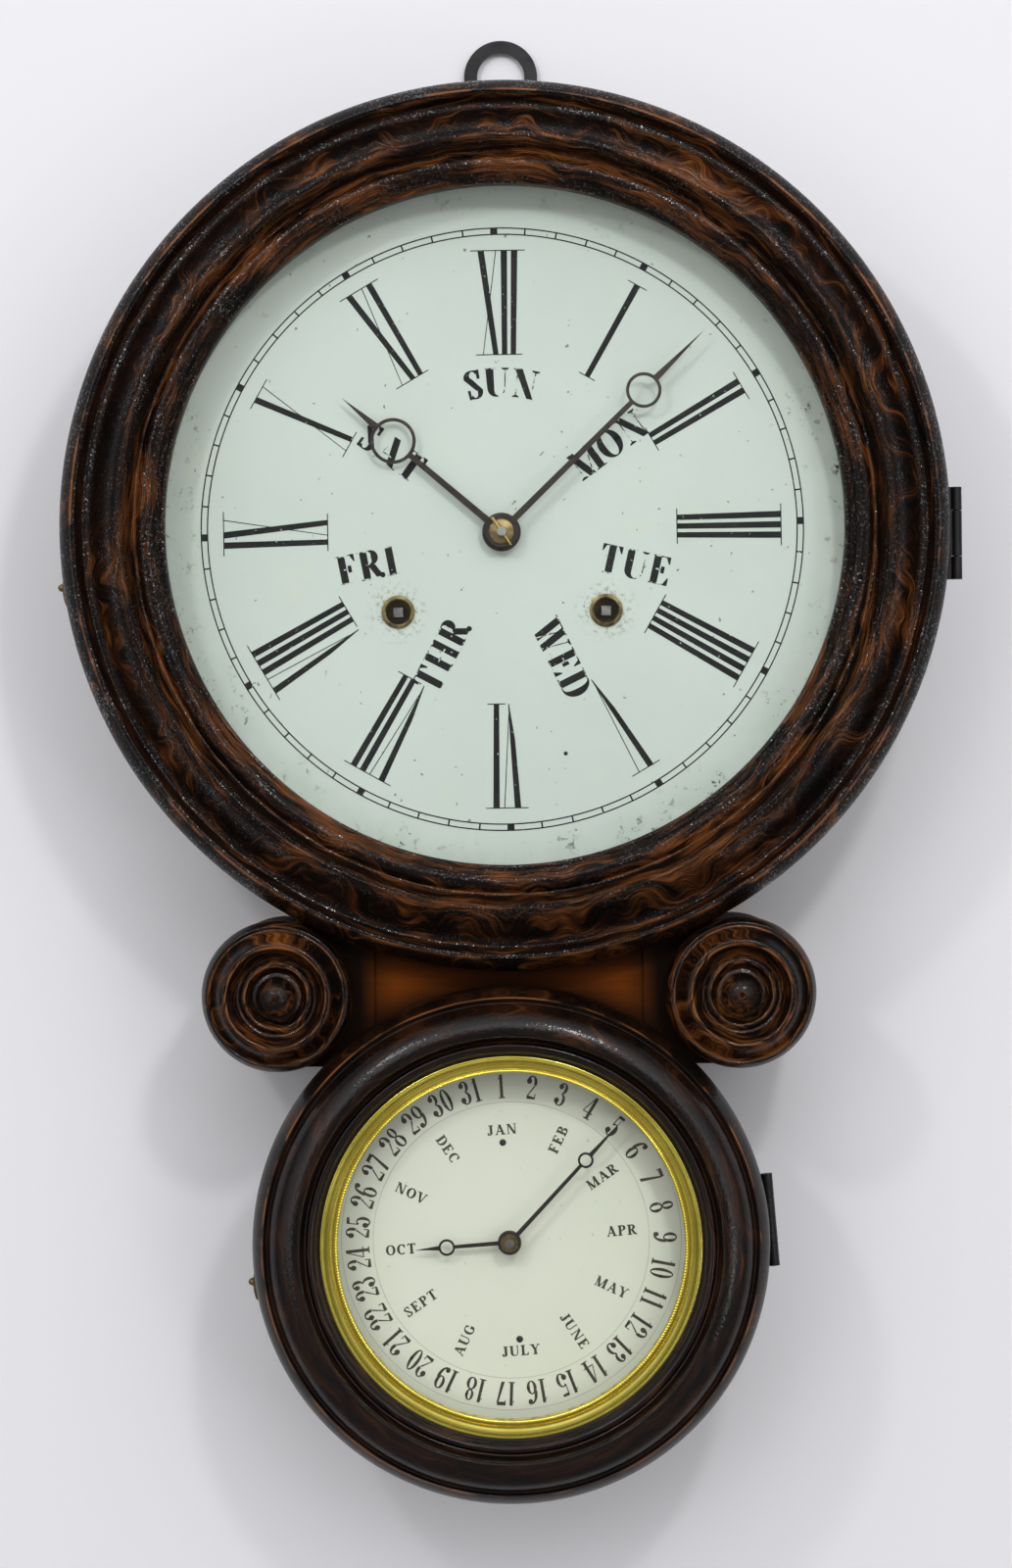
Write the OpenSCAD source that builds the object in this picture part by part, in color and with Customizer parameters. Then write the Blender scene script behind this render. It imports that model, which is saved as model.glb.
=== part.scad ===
/* [Case] */
// Height of the hanging hole above the centre of the upper door
hanger_rise = 215; // [205:1:290]
// Distance between the centres of the upper and lower doors
centre_gap = 318; // [314:1:380]
// Outer radius of the upper drum
upper_drum_r = 191; // [184:1:193]
// Outer radius of the lower drum
lower_drum_r = 109; // [104:1:110]
// Thickness of the bent wood of both drums
drum_wall = 9; // [7:0.5:11]
// Thickness of the backboard
board_t = 10; // [8:0.5:12]
// Depth of the case from the wall to the front edge of the drums
case_d = 78; // [78:1:92]
// Half the width of the passage for the pendulum between the drums
passage_half = 32; // [30:1:36]
// Half the width of the waist board
waist_half = 60; // [54:1:64]
// How far the waist board lies behind the front edge of the drums
waist_recess = 2; // [1:0.5:4]
// Thickness of the waist board
waist_t = 8; // [6:0.5:10]

/* [Roundels] */
// Radius of each turned roundel
roundel_r = 33.8; // [30:0.1:34]
// Distance of each roundel from the middle of the case
roundel_x = 102.6; // [102:0.1:106]
// Height of a roundel above the face it is glued to
roundel_h = 27; // [22:0.5:30]

/* [Hanger] */
// Radius of the hanging hole
hanger_hole_r = 11; // [9:0.5:12]
// Radius of the round head of the hanger plate
hanger_head_r = 17; // [15.5:0.5:19]
// Thickness of the hanger plate
hanger_t = 2; // [1.5:0.1:2.5]
// Radius of each screw that holds the hanger plate
hanger_screw_r = 2.2; // [1.8:0.1:2.6]

/* [Doors] */
// Gap between the drums and the doors
door_gap = 0.6; // [0.4:0.1:1]
// Largest radius of the upper door ring
upper_ring_r = 197; // [195:0.5:198]
// Radius of the glass opening of the upper door
upper_open_r = 150; // [146:1:152]
// Largest radius of the lower door ring
lower_ring_r = 114.5; // [113.5:0.5:115]
// Radius of the opening for the brass bezel in the lower door
lower_open_r = 84.3; // [82:0.1:86]
// Height of the highest moulding above the back of a door ring
ring_h = 33; // [28:0.5:36]
// Thickness of both glasses
glass_t = 2; // [1.5:0.1:2.5]
// Radial width of the rebate that the upper glass lies in
rebate_w = 6; // [4:0.5:7]
// Radius of the hole in the brass bezel
bezel_hole_r = 76.6; // [74:0.1:78]
// How far the lower door and its dial are turned from upright
lower_turn = 4.4; // [0:0.1:8]

/* [Hinges and latches] */
// Length of each hinge barrel
hinge_len = 41; // [34:1:50]
// Length of the middle knuckle
knuckle_len = 20; // [14:1:24]
// Radius of a hinge barrel
barrel_r = 2.5; // [2.1:0.1:2.7]
// Radius of a hinge pin
hinge_pin_r = 1.2; // [1:0.1:1.5]
// Thickness of a hinge leaf
leaf_t = 1.2; // [0.8:0.1:1.6]
// Distance from the upper drum to the middle of its hinge barrel
upper_hinge_out = 10; // [9:0.1:12]
// Distance from the lower drum to the middle of its hinge barrel
lower_hinge_out = 6.8; // [6.5:0.1:9]
// Distance of the upper hinge below the centre of the upper door
upper_hinge_drop = 4.5; // [0:0.5:20]
// Half the length of a latch blade
latch_half = 8.2; // [6:0.1:9]
// Width of a latch blade
latch_w = 4; // [3:0.1:5]
// Thickness of a latch blade
latch_t = 0.8; // [0.6:0.1:1.2]
// Radius of a latch pin
latch_pin_r = 1.1; // [0.8:0.1:1.4]
// How far behind the front edge of the drums the latch pins stand
latch_back = 5; // [3:0.5:9]
// Distance of the upper latch below the centre of the upper door
upper_latch_drop = 25; // [0:1:60]
// Distance of the lower latch below the centre of the lower door
lower_latch_drop = 17.5; // [0:0.5:40]

/* [Dials and hands] */
// Distance from the middle of the case to the hand arbor, to the left
arbor_left = 1.5; // [0:0.1:3]
// Distance of the hand arbor below the centre of the upper door
arbor_drop = 2.3; // [0:0.1:5]
// Thickness of the boards behind the dials
dial_board_t = 8; // [6:0.5:9]
// Thickness of the dial sheets
dial_t = 0.8; // [0.5:0.1:1]
// How far the dial boards lie behind the front edge of the drums
dial_back = 4; // [3:0.5:5]
// Angle of the hour hand, clockwise from upright
hour_angle = 310.5; // [0:0.5:360]
// Angle of the minute hand, clockwise from upright
minute_angle = 45.7; // [0:0.5:360]
// Angle of the date hand, clockwise from upright
date_angle = 43.1; // [0:0.5:360]
// Angle of the month hand, clockwise from upright
month_angle = 265.7; // [0:0.5:360]
// Length of the hour hand
hour_len = 92.5; // [80:0.5:98]
// Length of the minute hand
minute_len = 127; // [110:0.5:136]
// Length of the date hand
date_len = 74.5; // [66:0.5:76]
// Length of the month hand
month_len = 42; // [36:0.5:48]
// Thickness of the hands
hand_t = 0.8; // [0.6:0.1:1]

/* [Movement] */
// Half the distance between the two winding arbors
winding_x = 46.4; // [44:0.1:50]
// Distance of the winding arbors below the hand arbor
winding_drop = 35; // [33:0.5:38]
// Width across the flats of a winding square
winding_square = 4.2; // [3.6:0.1:4.4]
// Radius of the middle of a winding arbor
winding_r = 3.2; // [3:0.1:3.6]
// Thickness of the movement plates
plate_t = 2; // [1.5:0.1:2.5]
// Distance from the wall to the back plate
plate_back = 20; // [18:0.5:21]
// Clear space between the two plates
plate_space = 28; // [28:0.5:30]
// Width of a mainspring
spring_w = 16; // [12:0.5:16]
// Outer radius of a wound mainspring
spring_r = 23; // [18:0.5:24]
// Running clearance between a shaft and its hole
running_gap = 0.05; // [0.02:0.01:0.08]
// Distance between the hand arbor and the stud of the minute wheel
motion_gap = 20; // [18:0.5:22]
// Length of the pendulum from its suspension to the middle of the bob
pendulum_len = 246; // [236:1:248]
// Radius of the pendulum bob
bob_r = 20; // [16:0.5:21]
// Outer radius of the coiled gong
gong_r = 38; // [34:1:42]

/* [Hidden] */
$fn = 96;

// Every module is drawn as seen from the front: X right, Y up and Z out of the wall.
// The hanging hole is at the origin, and on_wall() stands the whole upright.
over = 1;
upper_c = [0, -hanger_rise];
lower_c = upper_c - [0, centre_gap];
door_z = case_d + door_gap;
upper_inner_r = upper_drum_r - drum_wall;
lower_inner_r = lower_drum_r - drum_wall;
board_front = case_d - dial_back;
board_rear = board_front - dial_board_t;
dial_front = board_front + dial_t;
seat_gap = 0.3;
leaf_fit = 0.1;

// Case and hanger: the neck ends where the outer part of each block meets the drums
block_step = 1;
block_seat = waist_half + 15.5;
neck_top = upper_c.y - sqrt(upper_drum_r * upper_drum_r - block_seat * block_seat);
neck_low = lower_c.y + sqrt(lower_drum_r * lower_drum_r - block_seat * block_seat);
neck_h = neck_top - neck_low;
roundel_c = [roundel_x, (neck_top + neck_low) / 2];
hanger_tongue_w = 22;
hanger_screw_c = [0, upper_c.y + upper_drum_r - 22];
hanger_screw_len = board_t - 1.5;

// Dials
upper_dial_r = upper_open_r + 14;
calendar_dial_r = bezel_hole_r + 12;
dial_hole_r = 6.5;
arbor_hole_r = 16;
collet_hole_r = 5.5;
collet_r = 6.8;
calendar_pin_r = 0.9;
calendar_pin_out = 44;

// Doors, hinges and latches
upper_glass_z = case_d + 10;
lower_glass_z = case_d + 10;
putty_w = 4;
bezel_skirt = 1.6;
bezel_top = door_z + ring_h - 12;
bezel_bead = [bezel_hole_r + 0.7, bezel_top - 4.4];
barrel_z = case_d + door_gap / 2;
leaf_reach = 19;
knuckle_gap = 0.3;
latch_clear = 1.4;
latch_bow = 1.6;
latch_seat = 0.2;
bow_r = (latch_half * latch_half + latch_bow * latch_bow) / (2 * latch_bow);
latch_head_r = 1.8;

// Places on the movement, seen from the hand arbor
arbor_c = upper_c + [-arbor_left, -arbor_drop];
date_c = lower_c - [0.8, 0];
great_at = [winding_x, -winding_drop];
strike_great_at = [-great_at.x, great_at.y];
front_z = plate_back + plate_t + plate_space;
plate_front = front_z + plate_t;

// Wheel train: module of the teeth of each pair, and its teeth
great_m = 0.825;
great_n = 72;
second_m = 0.78;
second_n = 70;
centre_m = 0.7;
centre_n = 72;
fourth_m = 0.608;
fourth_n = 68;
great_leaves = 12;
centre_leaves = 10;
quick_leaves = 7;
pin_wheel_n = 48;
great_second = great_m * (great_n + great_leaves) / 2;
second_centre = second_m * (second_n + centre_leaves) / 2;
centre_fourth = centre_m * (centre_n + quick_leaves) / 2;
fourth_escape = fourth_m * (fourth_n + quick_leaves) / 2;
second_at = corner(great_at, great_second, second_centre);
pin_wheel_at = [-second_at.x, second_at.y];
fourth_at = [0, -centre_fourth];
escape_at = fourth_at - [0, fourth_escape];

// Motion work behind the dial, and the calendar's own pair of reductions
first_n = 36;
first_leaves = 12;
last_n = 40;
last_leaves = 10;
stud_turn = 60;
stud_at = motion_gap * [cos(stud_turn), sin(stud_turn)];
calendar_stud_at = [0, -motion_gap];

// Escapement and pendulum
escape_teeth = 36;
escape_r = 12.5;
suspension_at = [0, -22];
verge_at = [0, -32];
escape_z = plate_front + 2.5;
rod_z = plate_front + 8;
verge_nose = 45;
nose_gap = 0.35;
bob_at = suspension_at - [0, pendulum_len];
fork_drop = 38;
verge_pin_r = 1;
rod_r = 0.8;
pillars = [[64, -66], [62, 34], [-64, -66], [-62, 34]];
hammer_z = plate_back - 4.7;
lift_pin_r = 13;
hammer_at = [-52, 22];
hammer_head = [-46, -104];
gong_at = [gong_r - 37.5, -115];

// Depths of the wheels between the plates
back_z = plate_back + plate_t;
great_z = front_z - 7.5;
ratchet_z = great_z - 2;
spring_z = back_z + 1;
spring_thick = 0.6;
second_z = front_z - 4.5;
centre_z = front_z - 14;
fourth_z = back_z + 2;
wheel_t = 1.5;
great_t = 2;
ratchet_t = 1.7;
ratchet_n = 12;
ratchet_r = 9;
arbor_r = 1.5;
pivot_r = 0.8;
hand_arbor_r = 2;
pipe_r = 3.3;
square_end = board_front - 1.5;

// Depths of the hands
hour_z = dial_front + 4.7;
minute_z = dial_front + 8.2;
pin_z = minute_z + hand_t + 1.8;
arbor_end = pin_z + 1.6;
pin_hole_r = 0.8;
pin_len = 15;
pin_turn = 10;

// Depths of the calendar wheels
month_wheel_z = board_rear - 3;
calendar_wheel_z = board_rear - 7;

// Where the third corner of a triangle lies whose side from the origin to a is known,
// with the lengths of its sides at a and at the origin
function corner(a, at_a, at_origin) =
  let (side = norm(a),
       along = (at_origin * at_origin - at_a * at_a + side * side) / (2 * side),
       off = sqrt(at_origin * at_origin - along * along),
       unit = a / side)
  along * unit + off * [-unit.y, unit.x];

// A smooth step from one point of a turned outline to another
function ogee(a, b, steps = 8) =
  [for (i = [0:steps]) let (t = i / steps)
    [a.x + (b.x - a.x) * t, a.y + (b.y - a.y) * (1 - cos(180 * t)) / 2]];

// An arc between two points of a turned outline that swells by h to the left of the way along
function swell(a, b, h, steps = 8) =
  let (way = b - a, left = [-way.y, way.x] / norm(way))
  [for (i = [0:steps]) let (t = i / steps) a + way * t + left * h * 4 * t * (1 - t)];

module on_wall() rotate([90, 0, 0]) children();

module at(place, z = 0) translate([place.x, place.y, z]) children();

module disc(r, z1, z2) translate([0, 0, z1]) cylinder(r = r, h = z2 - z1);

module tube(outer, inner, z1, z2) difference() {
  disc(outer, z1, z2);
  disc(inner, z1 - over, z2 + over);
}

module slab(z1, z2) translate([0, 0, z1]) linear_extrude(z2 - z1) children();

// Turns a clock hand that is drawn pointing up
module clockwise(angle) rotate(-angle) children();

// Shapes that several pieces share
module both_sides() {
  children();
  mirror([1, 0]) children();
}

module spin(points) rotate_extrude($fn = 180) polygon(points);

function scaled(points, r, h) = [for (p = points) [p.x * r, p.y * h]];

// Screw with a countersunk head that lies flush at height 0 and a shank that goes up
module flush_screw(r, head_h, length) spin([[0, 0], [2 * r, 0], [r, head_h], [r, length], [0, length]]);

// Case
module drum_discs() {
  at(upper_c) circle(upper_drum_r, $fn = 180);
  at(lower_c) circle(lower_drum_r, $fn = 180);
}

module block_outline() {
  at(roundel_c) circle(roundel_r - block_step);
  translate([waist_half, neck_low]) square([roundel_x - waist_half, neck_h]);
}

module backboard() color("saddlebrown") difference() {
  slab(0, board_t) {
    drum_discs();
    both_sides() block_outline();
    translate([-waist_half - over, neck_low]) square([2 * (waist_half + over), neck_h]);
  }
  slab(-over, hanger_t) hanger_outline(leaf_fit);
  at(hanger_screw_c, -over) cylinder(r = hanger_screw_r, h = hanger_screw_len + over);
}

module drum(c, outer, passage_y, latch_drop) difference() {
  at(c) tube(outer, outer - drum_wall, board_t, case_d, $fn = 180);
  slab(board_t, board_rear - over) translate([-passage_half, passage_y - 3 * drum_wall])
    square([2 * passage_half, 6 * drum_wall]);
  children();
  latch_shank(c, outer, latch_drop);
}

module upper_drum() color("sienna") drum(upper_c, upper_drum_r, upper_c.y - upper_drum_r, upper_latch_drop)
  at_upper_hinge() leaf(case_d - leaf_t, case_d + over, leaf_fit);

module lower_drum() color("sienna") drum(lower_c, lower_drum_r, lower_c.y + lower_drum_r, lower_latch_drop)
  at_lower_hinge() leaf(case_d - leaf_t, case_d + over, leaf_fit);

module waist_blocks() color("sienna") slab(board_t, case_d) difference() {
  both_sides() block_outline();
  drum_discs();
}

module waist_board() color("brown")
  slab(case_d - waist_recess - waist_t, case_d - waist_recess) difference() {
    translate([-waist_half, neck_low]) square([2 * waist_half, neck_h]);
    drum_discs();
  }

// Half of a roundel's section, as shares of its radius and height
roundel_outline = concat(
  [[0, 0]],
  swell([0.93, 0], [0.89, 0.6], -0.09),
  ogee([0.85, 0.53], [0.65, 0.86]),
  ogee([0.61, 0.86], [0.48, 0.62]),
  swell([0.46, 0.62], [0.35, 0.62], -0.04, 4),
  [[0.33, 0.55], [0.26, 0.55], [0.25, 0.7]],
  [for (i = [1:8]) [0.25 * cos(i * 90 / 8), 0.7 + 0.3 * sin(i * 90 / 8)]]
);

module roundel() spin(scaled(roundel_outline, roundel_r, roundel_h));

module left_roundel() color("saddlebrown") at([-roundel_c.x, roundel_c.y], case_d) roundel();

module right_roundel() color("saddlebrown") at(roundel_c, case_d) roundel();

module hanger_outline(grow = 0) {
  circle(hanger_head_r + grow);
  translate([-hanger_tongue_w / 2 - grow, hanger_screw_c.y - hanger_tongue_w / 2 - grow])
    square([hanger_tongue_w + 2 * grow, -hanger_screw_c.y + hanger_tongue_w / 2 + grow]);
}

module hanger_plate() color("black") difference() {
  slab(0, hanger_t) hanger_outline();
  disc(hanger_hole_r, -over, hanger_t + over);
  at(hanger_screw_c) flush_screw(hanger_screw_r, hanger_t, hanger_screw_len);
}

module hanger_screws() color("dimgray") at(hanger_screw_c)
  flush_screw(hanger_screw_r, hanger_t, hanger_screw_len);

// Dials and the boards behind them
module upper_dial_board() color("burlywood") difference() {
  at(upper_c) disc(upper_inner_r - seat_gap, board_rear, board_front, $fn = 180);
  at(arbor_c) disc(arbor_hole_r, board_rear - over, board_front + over);
  at_windings() disc(collet_r, board_rear - over, board_front + over);
}

module upper_dial() color("honeydew") difference() {
  at(arbor_c + [0, arbor_drop]) disc(upper_dial_r, board_front, dial_front, $fn = 180);
  at(arbor_c) disc(dial_hole_r, board_front - over, dial_front + over);
  at_windings() disc(collet_r, board_front - over, dial_front + over);
}

module winding_collets() color("goldenrod") at_windings() spin([
  [collet_hole_r, board_rear], [collet_r, board_rear], [collet_r, dial_front],
  [collet_r + 0.6, dial_front], [collet_r + 0.6, dial_front + 0.4], [collet_hole_r + 0.6, dial_front + 1],
  [collet_hole_r, dial_front + 0.6]
]);

module calendar_board() color("burlywood") difference() {
  at(lower_c) disc(lower_inner_r - seat_gap, board_rear, board_front, $fn = 180);
  at(date_c) disc(pipe_r + running_gap, board_rear - over, board_front + over);
  at(date_c + calendar_stud_at) disc(arbor_r, board_rear - over, board_front - 2);
  at_calendar_pins() disc(calendar_pin_r, board_rear + 2, board_front + over);
}

module calendar_dial() color("ivory") difference() {
  at(lower_c) disc(calendar_dial_r, board_front, dial_front, $fn = 180);
  at(date_c) disc(pipe_r + running_gap, board_front - over, dial_front + over);
  at_calendar_pins() disc(calendar_pin_r, board_front - over, dial_front + over);
}

module calendar_pins() color("black") {
  at_calendar_pins() {
    disc(calendar_pin_r, board_rear + 2, dial_front);
    translate([0, 0, dial_front]) dome(1.7 * calendar_pin_r, 0.6);
  }
  at(date_c + calendar_stud_at) disc(arbor_r, calendar_wheel_z - 1, board_front - 2);
}

// A low round head of radius r and height h
module dome(r, h) spin(concat([[0, 0]], [for (i = [0:6]) [r * cos(i * 15), h * sin(i * 15)]]));

// Doors
// Section of the upper door ring from its back corner, over the mouldings, to the glass opening.
// Distances inward from the largest radius, and heights above the back of the ring.
upper_moulding = concat(
  swell([3, 0], [6, 21.4], 4.5),
  ogee([6, 21.4], [11.5, 17.6], 6),
  ogee([11.5, 17.6], [28, ring_h], 12),
  ogee([28, ring_h], [34.6, ring_h - 8.6], 8),
  swell([34.8, ring_h - 9.6], [41.4, ring_h - 7.4], 1.2, 8),
  [[upper_ring_r - upper_open_r, ring_h - 13.4]]
);

lower_moulding = concat(
  swell([3, 0], [4.7, 21.4], 3.9),
  ogee([4.7, 21.4], [7, 20], 4),
  swell([7, 20], [20.3, ring_h - 2.4], 3, 12),
  ogee([20.6, ring_h - 3], [24, ring_h - 9], 6),
  swell([24.2, ring_h - 9.6], [27.2, ring_h - 8.4], 0.8, 6),
  [[lower_ring_r - lower_open_r, ring_h - 12]]
);

function turned(outline, r) = [for (p = outline) [r - p.x, door_z + p.y]];

module upper_door_ring() color("saddlebrown") difference() {
  at(upper_c) spin(concat(turned(upper_moulding, upper_ring_r), [
    [upper_open_r, upper_glass_z + glass_t],
    [upper_open_r + rebate_w, upper_glass_z + glass_t],
    [upper_open_r + rebate_w, door_z]
  ]));
  at_upper_hinge() leaf(door_z - over, door_z + leaf_t, leaf_fit);
}

module upper_glass() color("lightcyan", 0.3) at(upper_c)
  disc(upper_open_r + rebate_w - seat_gap, upper_glass_z, upper_glass_z + glass_t, $fn = 180);

// A fillet of putty that holds a glass in the corner behind it
module putty(c, r, z) color("wheat") at(c) spin([[r - putty_w, z], [r, z - putty_w], [r, z]]);

module upper_putty() putty(upper_c, upper_open_r + rebate_w, upper_glass_z);

module lower_door_ring() color("saddlebrown") difference() {
  at(lower_c) spin(concat(turned(lower_moulding, lower_ring_r), [[lower_open_r, door_z]]));
  at_lower_hinge() leaf(door_z - over, door_z + leaf_t, leaf_fit);
}

// Brass ring with a sloping rim, a groove and a raised bead round its hole
module lower_bezel() color("gold") at(lower_c) spin(concat(
  [
    [bezel_hole_r, lower_glass_z + glass_t],
    [lower_open_r - bezel_skirt, lower_glass_z + glass_t],
    [lower_open_r - bezel_skirt, lower_glass_z - putty_w],
    [lower_open_r, lower_glass_z - putty_w],
    [lower_open_r, bezel_top - 0.6],
    [lower_open_r - 0.6, bezel_top],
    [bezel_hole_r + 3.6, bezel_top - 3.4],
    [bezel_hole_r + 2.8, bezel_top - 3.6],
    [bezel_hole_r + 2.4, bezel_top - 4.8],
    [bezel_hole_r + 1.4, bezel_top - 4.8]
  ],
  [for (i = [0:6]) bezel_bead + 0.7 * [cos(i * 30), sin(i * 30)]]
));

module lower_glass() color("lightcyan", 0.3) at(lower_c)
  disc(lower_open_r - bezel_skirt - seat_gap, lower_glass_z, lower_glass_z + glass_t, $fn = 180);

module lower_putty() putty(lower_c, lower_open_r - bezel_skirt, lower_glass_z);

// Hinges
module at_upper_hinge() at([upper_drum_r + upper_hinge_out, upper_c.y - upper_hinge_drop]) children();

module at_lower_hinge() at(lower_c) rotate(lower_turn) at([lower_drum_r + lower_hinge_out, 0]) children();

// A hinge leaf, seen from the front, that reaches inward from the middle of the barrel
module leaf(z1, z2, grow = 0) slab(z1, z2) translate([-leaf_reach - grow, -hinge_len / 2 - grow])
  square([leaf_reach - barrel_r + 2 * grow, hinge_len + 2 * grow]);

module knuckle(from, to) translate([0, from, barrel_z]) rotate([-90, 0, 0]) difference() {
  cylinder(r = barrel_r, h = to - from);
  translate([0, 0, -over]) cylinder(r = hinge_pin_r + running_gap, h = to - from + 2 * over);
}

// The strip that joins a leaf to its knuckle
module leaf_neck(z1, z2, from, to) translate([-barrel_r - over, from, z1]) difference() {
  cube([barrel_r + over, to - from, z2 - z1]);
  translate([barrel_r + over, -over, barrel_z - z1]) rotate([-90, 0, 0])
    cylinder(r = hinge_pin_r + running_gap, h = to - from + 2 * over);
}

module case_leaf() {
  leaf(case_d - leaf_t, case_d);
  for (side = [-1, 1]) {
    low = side < 0 ? -hinge_len / 2 : knuckle_len / 2 + knuckle_gap;
    high = side < 0 ? -knuckle_len / 2 - knuckle_gap : hinge_len / 2;
    knuckle(low, high);
    leaf_neck(case_d - leaf_t, case_d, low, high);
  }
}

module door_leaf() {
  leaf(door_z, door_z + leaf_t);
  knuckle(-knuckle_len / 2, knuckle_len / 2);
  leaf_neck(door_z, door_z + leaf_t, -knuckle_len / 2, knuckle_len / 2);
}

module hinge_pin() translate([0, -hinge_len / 2, barrel_z]) rotate([-90, 0, 0])
  cylinder(r = hinge_pin_r, h = hinge_len);

module case_hinge_leaves() color("black") {
  at_upper_hinge() case_leaf();
  at_lower_hinge() case_leaf();
}

module hinge_pins() color("dimgray") {
  at_upper_hinge() hinge_pin();
  at_lower_hinge() hinge_pin();
}

module upper_door_leaf() color("black") at_upper_hinge() door_leaf();

module lower_door_leaf() color("black") at_lower_hinge() door_leaf();

// Latches: a small bowed blade on a pin at the left side of each drum
function latch_x(ring_r, drop) = -sqrt(ring_r * ring_r - drop * drop) - latch_clear;

module at_latch(c, ring_r, drop) translate([c.x + latch_x(ring_r, drop), c.y - drop, case_d - latch_back])
  rotate([0, -90, 0]) children();

module latch_shank(c, drum_r, drop) translate([c.x, c.y - drop, case_d - latch_back]) rotate([0, -90, 0])
  cylinder(r = latch_pin_r, h = drum_r);

module latch_pin(c, drum_r, ring_r, drop) {
  hold = sqrt(drum_r * drum_r - drop * drop) - drum_wall + over;
  translate([c.x - hold, c.y - drop, case_d - latch_back]) rotate([0, -90, 0])
    cylinder(r = latch_pin_r, h = -latch_x(ring_r, drop) - hold + latch_t + seat_gap);
  at_latch(c, ring_r, drop) translate([0, 0, latch_t + running_gap]) spin(concat(
    [[0, 0]], [for (i = [0:8]) latch_head_r * [cos(i * 11.25), 1.2 * sin(i * 11.25)]]));
  at_latch(c, ring_r, drop) translate([0, 0, -latch_t - latch_seat])
    cylinder(r = 1.6 * latch_pin_r, h = latch_t);
}

module latch_blade() difference() {
  intersection() {
    translate([-latch_w / 2, -latch_half, -latch_bow]) cube([latch_w, 2 * latch_half, latch_bow + latch_t]);
    translate([0, 0, latch_t - bow_r]) rotate([0, 90, 0])
      tube(bow_r, bow_r - latch_t, -latch_w, latch_w, $fn = 180);
    slab(-latch_bow - over, latch_t + over) {
      translate([-latch_w / 2, -latch_half + latch_w / 2]) square([latch_w, 2 * latch_half - latch_w]);
      for (side = [-1, 1]) translate([0, side * (latch_half - latch_w / 2)]) circle(latch_w / 2);
    }
  }
  disc(latch_pin_r + running_gap, -latch_bow - over, latch_t + over);
}

module latch_pins() color("darkgoldenrod") {
  latch_pin(upper_c, upper_drum_r, upper_ring_r, upper_latch_drop);
  latch_pin(lower_c, lower_drum_r, lower_ring_r, lower_latch_drop);
}

module upper_latch() color("darkgoldenrod") at_latch(upper_c, upper_ring_r, upper_latch_drop) latch_blade();

module lower_latch() color("darkgoldenrod") at_latch(lower_c, lower_ring_r, lower_latch_drop) latch_blade();

// Places that several pieces share
module at_windings() for (side = [-1, 1])
  at(arbor_c + [side * winding_x, -winding_drop]) children();

module at_calendar_pins() for (side = [-1, 1])
  at(lower_c) rotate(lower_turn) at([0, side * calendar_pin_out]) children();

module on_movement(place) at(arbor_c + place) children();

// Wheels and pinions
// Outline of n teeth; the shares say how much of a pitch a tooth fills at its root and tip
function teeth(n, root_r, tip_r, root_share, tip_share, phase = 0) =
  let (tooth = [[root_r, -root_share], [tip_r, -tip_share], [tip_r, tip_share], [root_r, root_share]])
  [for (i = [0:n - 1]) for (p = tooth)
    let (turn = phase + (i + p[1] / 2) * 360 / n) p[0] * [cos(turn), sin(turn)]];

function wheel_outline(n, m) = teeth(n, m * (n / 2 - 1), m * (n / 2 + 0.8), 0.38, 0.14);

function pinion_outline(n, m, phase) = teeth(n, m * (n / 2 - 1.1), m * (n / 2 + 0.5), 0.32, 0.2, phase);

function facing(from, to) = atan2(to.y - from.y, to.x - from.x);

// Turns a wheel or pinion so that one of its gaps meets a tooth of the one that drives it
function mesh_phase(driver_teeth, teeth, from, to) =
  facing(from, to) + 180 + 180 / teeth + facing(from, to) * driver_teeth / teeth;

module wheel(n, m, hole, z, thick = wheel_t, arms = 4) slab(z, z + thick) difference() {
  polygon(wheel_outline(n, m));
  circle(hole);
  difference() {
    circle(m * (n / 2 - 1) - 2.5);
    circle(hole + 3.5);
    for (i = [1:arms]) rotate(i * 360 / arms) translate([0, -1.5]) square([m * n, 3]);
  }
}

module pinion(n, m, hole, z1, z2, phase) slab(z1, z2) difference() {
  polygon(pinion_outline(n, m, phase));
  if (hole > 0) circle(hole);
}

// An arbor between the plates with a thin pivot at each end
module pivoted_arbor(r = arbor_r) {
  disc(pivot_r, plate_back, back_z + over);
  disc(r, back_z + 0.2, front_z - 0.2);
  disc(pivot_r, front_z - over, plate_front);
}

// Movement frame
module plate_outline() difference() {
  translate([-72, -74]) square([144, 116]);
  for (p = pillars) translate(p) circle(2);
  for (p = [second_at, pin_wheel_at, fourth_at]) translate(p) circle(pivot_r + running_gap);
  for (side = [-1, 1]) {
    translate([side * 20, 26]) circle(9);
    translate([side * 18, -62]) circle(7);
  }
  translate([0, 26]) circle(6);
}

module back_plate() color("goldenrod") on_movement([0, 0]) slab(plate_back, back_z) difference() {
  plate_outline();
  for (side = [-1, 1]) translate([side * great_at.x, great_at.y]) circle(arbor_r + running_gap);
  for (p = [[0, 0], escape_at]) translate(p) circle(pivot_r + running_gap);
  translate(hammer_at) circle(arbor_r + running_gap);
}

module front_plate() color("goldenrod") on_movement([0, 0]) {
  slab(front_z, plate_front) difference() {
    plate_outline();
    for (side = [-1, 1]) translate([side * great_at.x, great_at.y]) circle(winding_r + running_gap);
    circle(arbor_r + running_gap);
    translate(escape_at) circle(pivot_r + running_gap);
    translate(hammer_at) circle(pivot_r + running_gap);
  }
  at(stud_at) disc(arbor_r, plate_front, plate_front + 9);
  at(verge_at) disc(verge_pin_r, plate_front, plate_front + 5.4);
  at(suspension_at) disc(arbor_r, plate_front, rod_z + 2.6);
}

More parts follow.
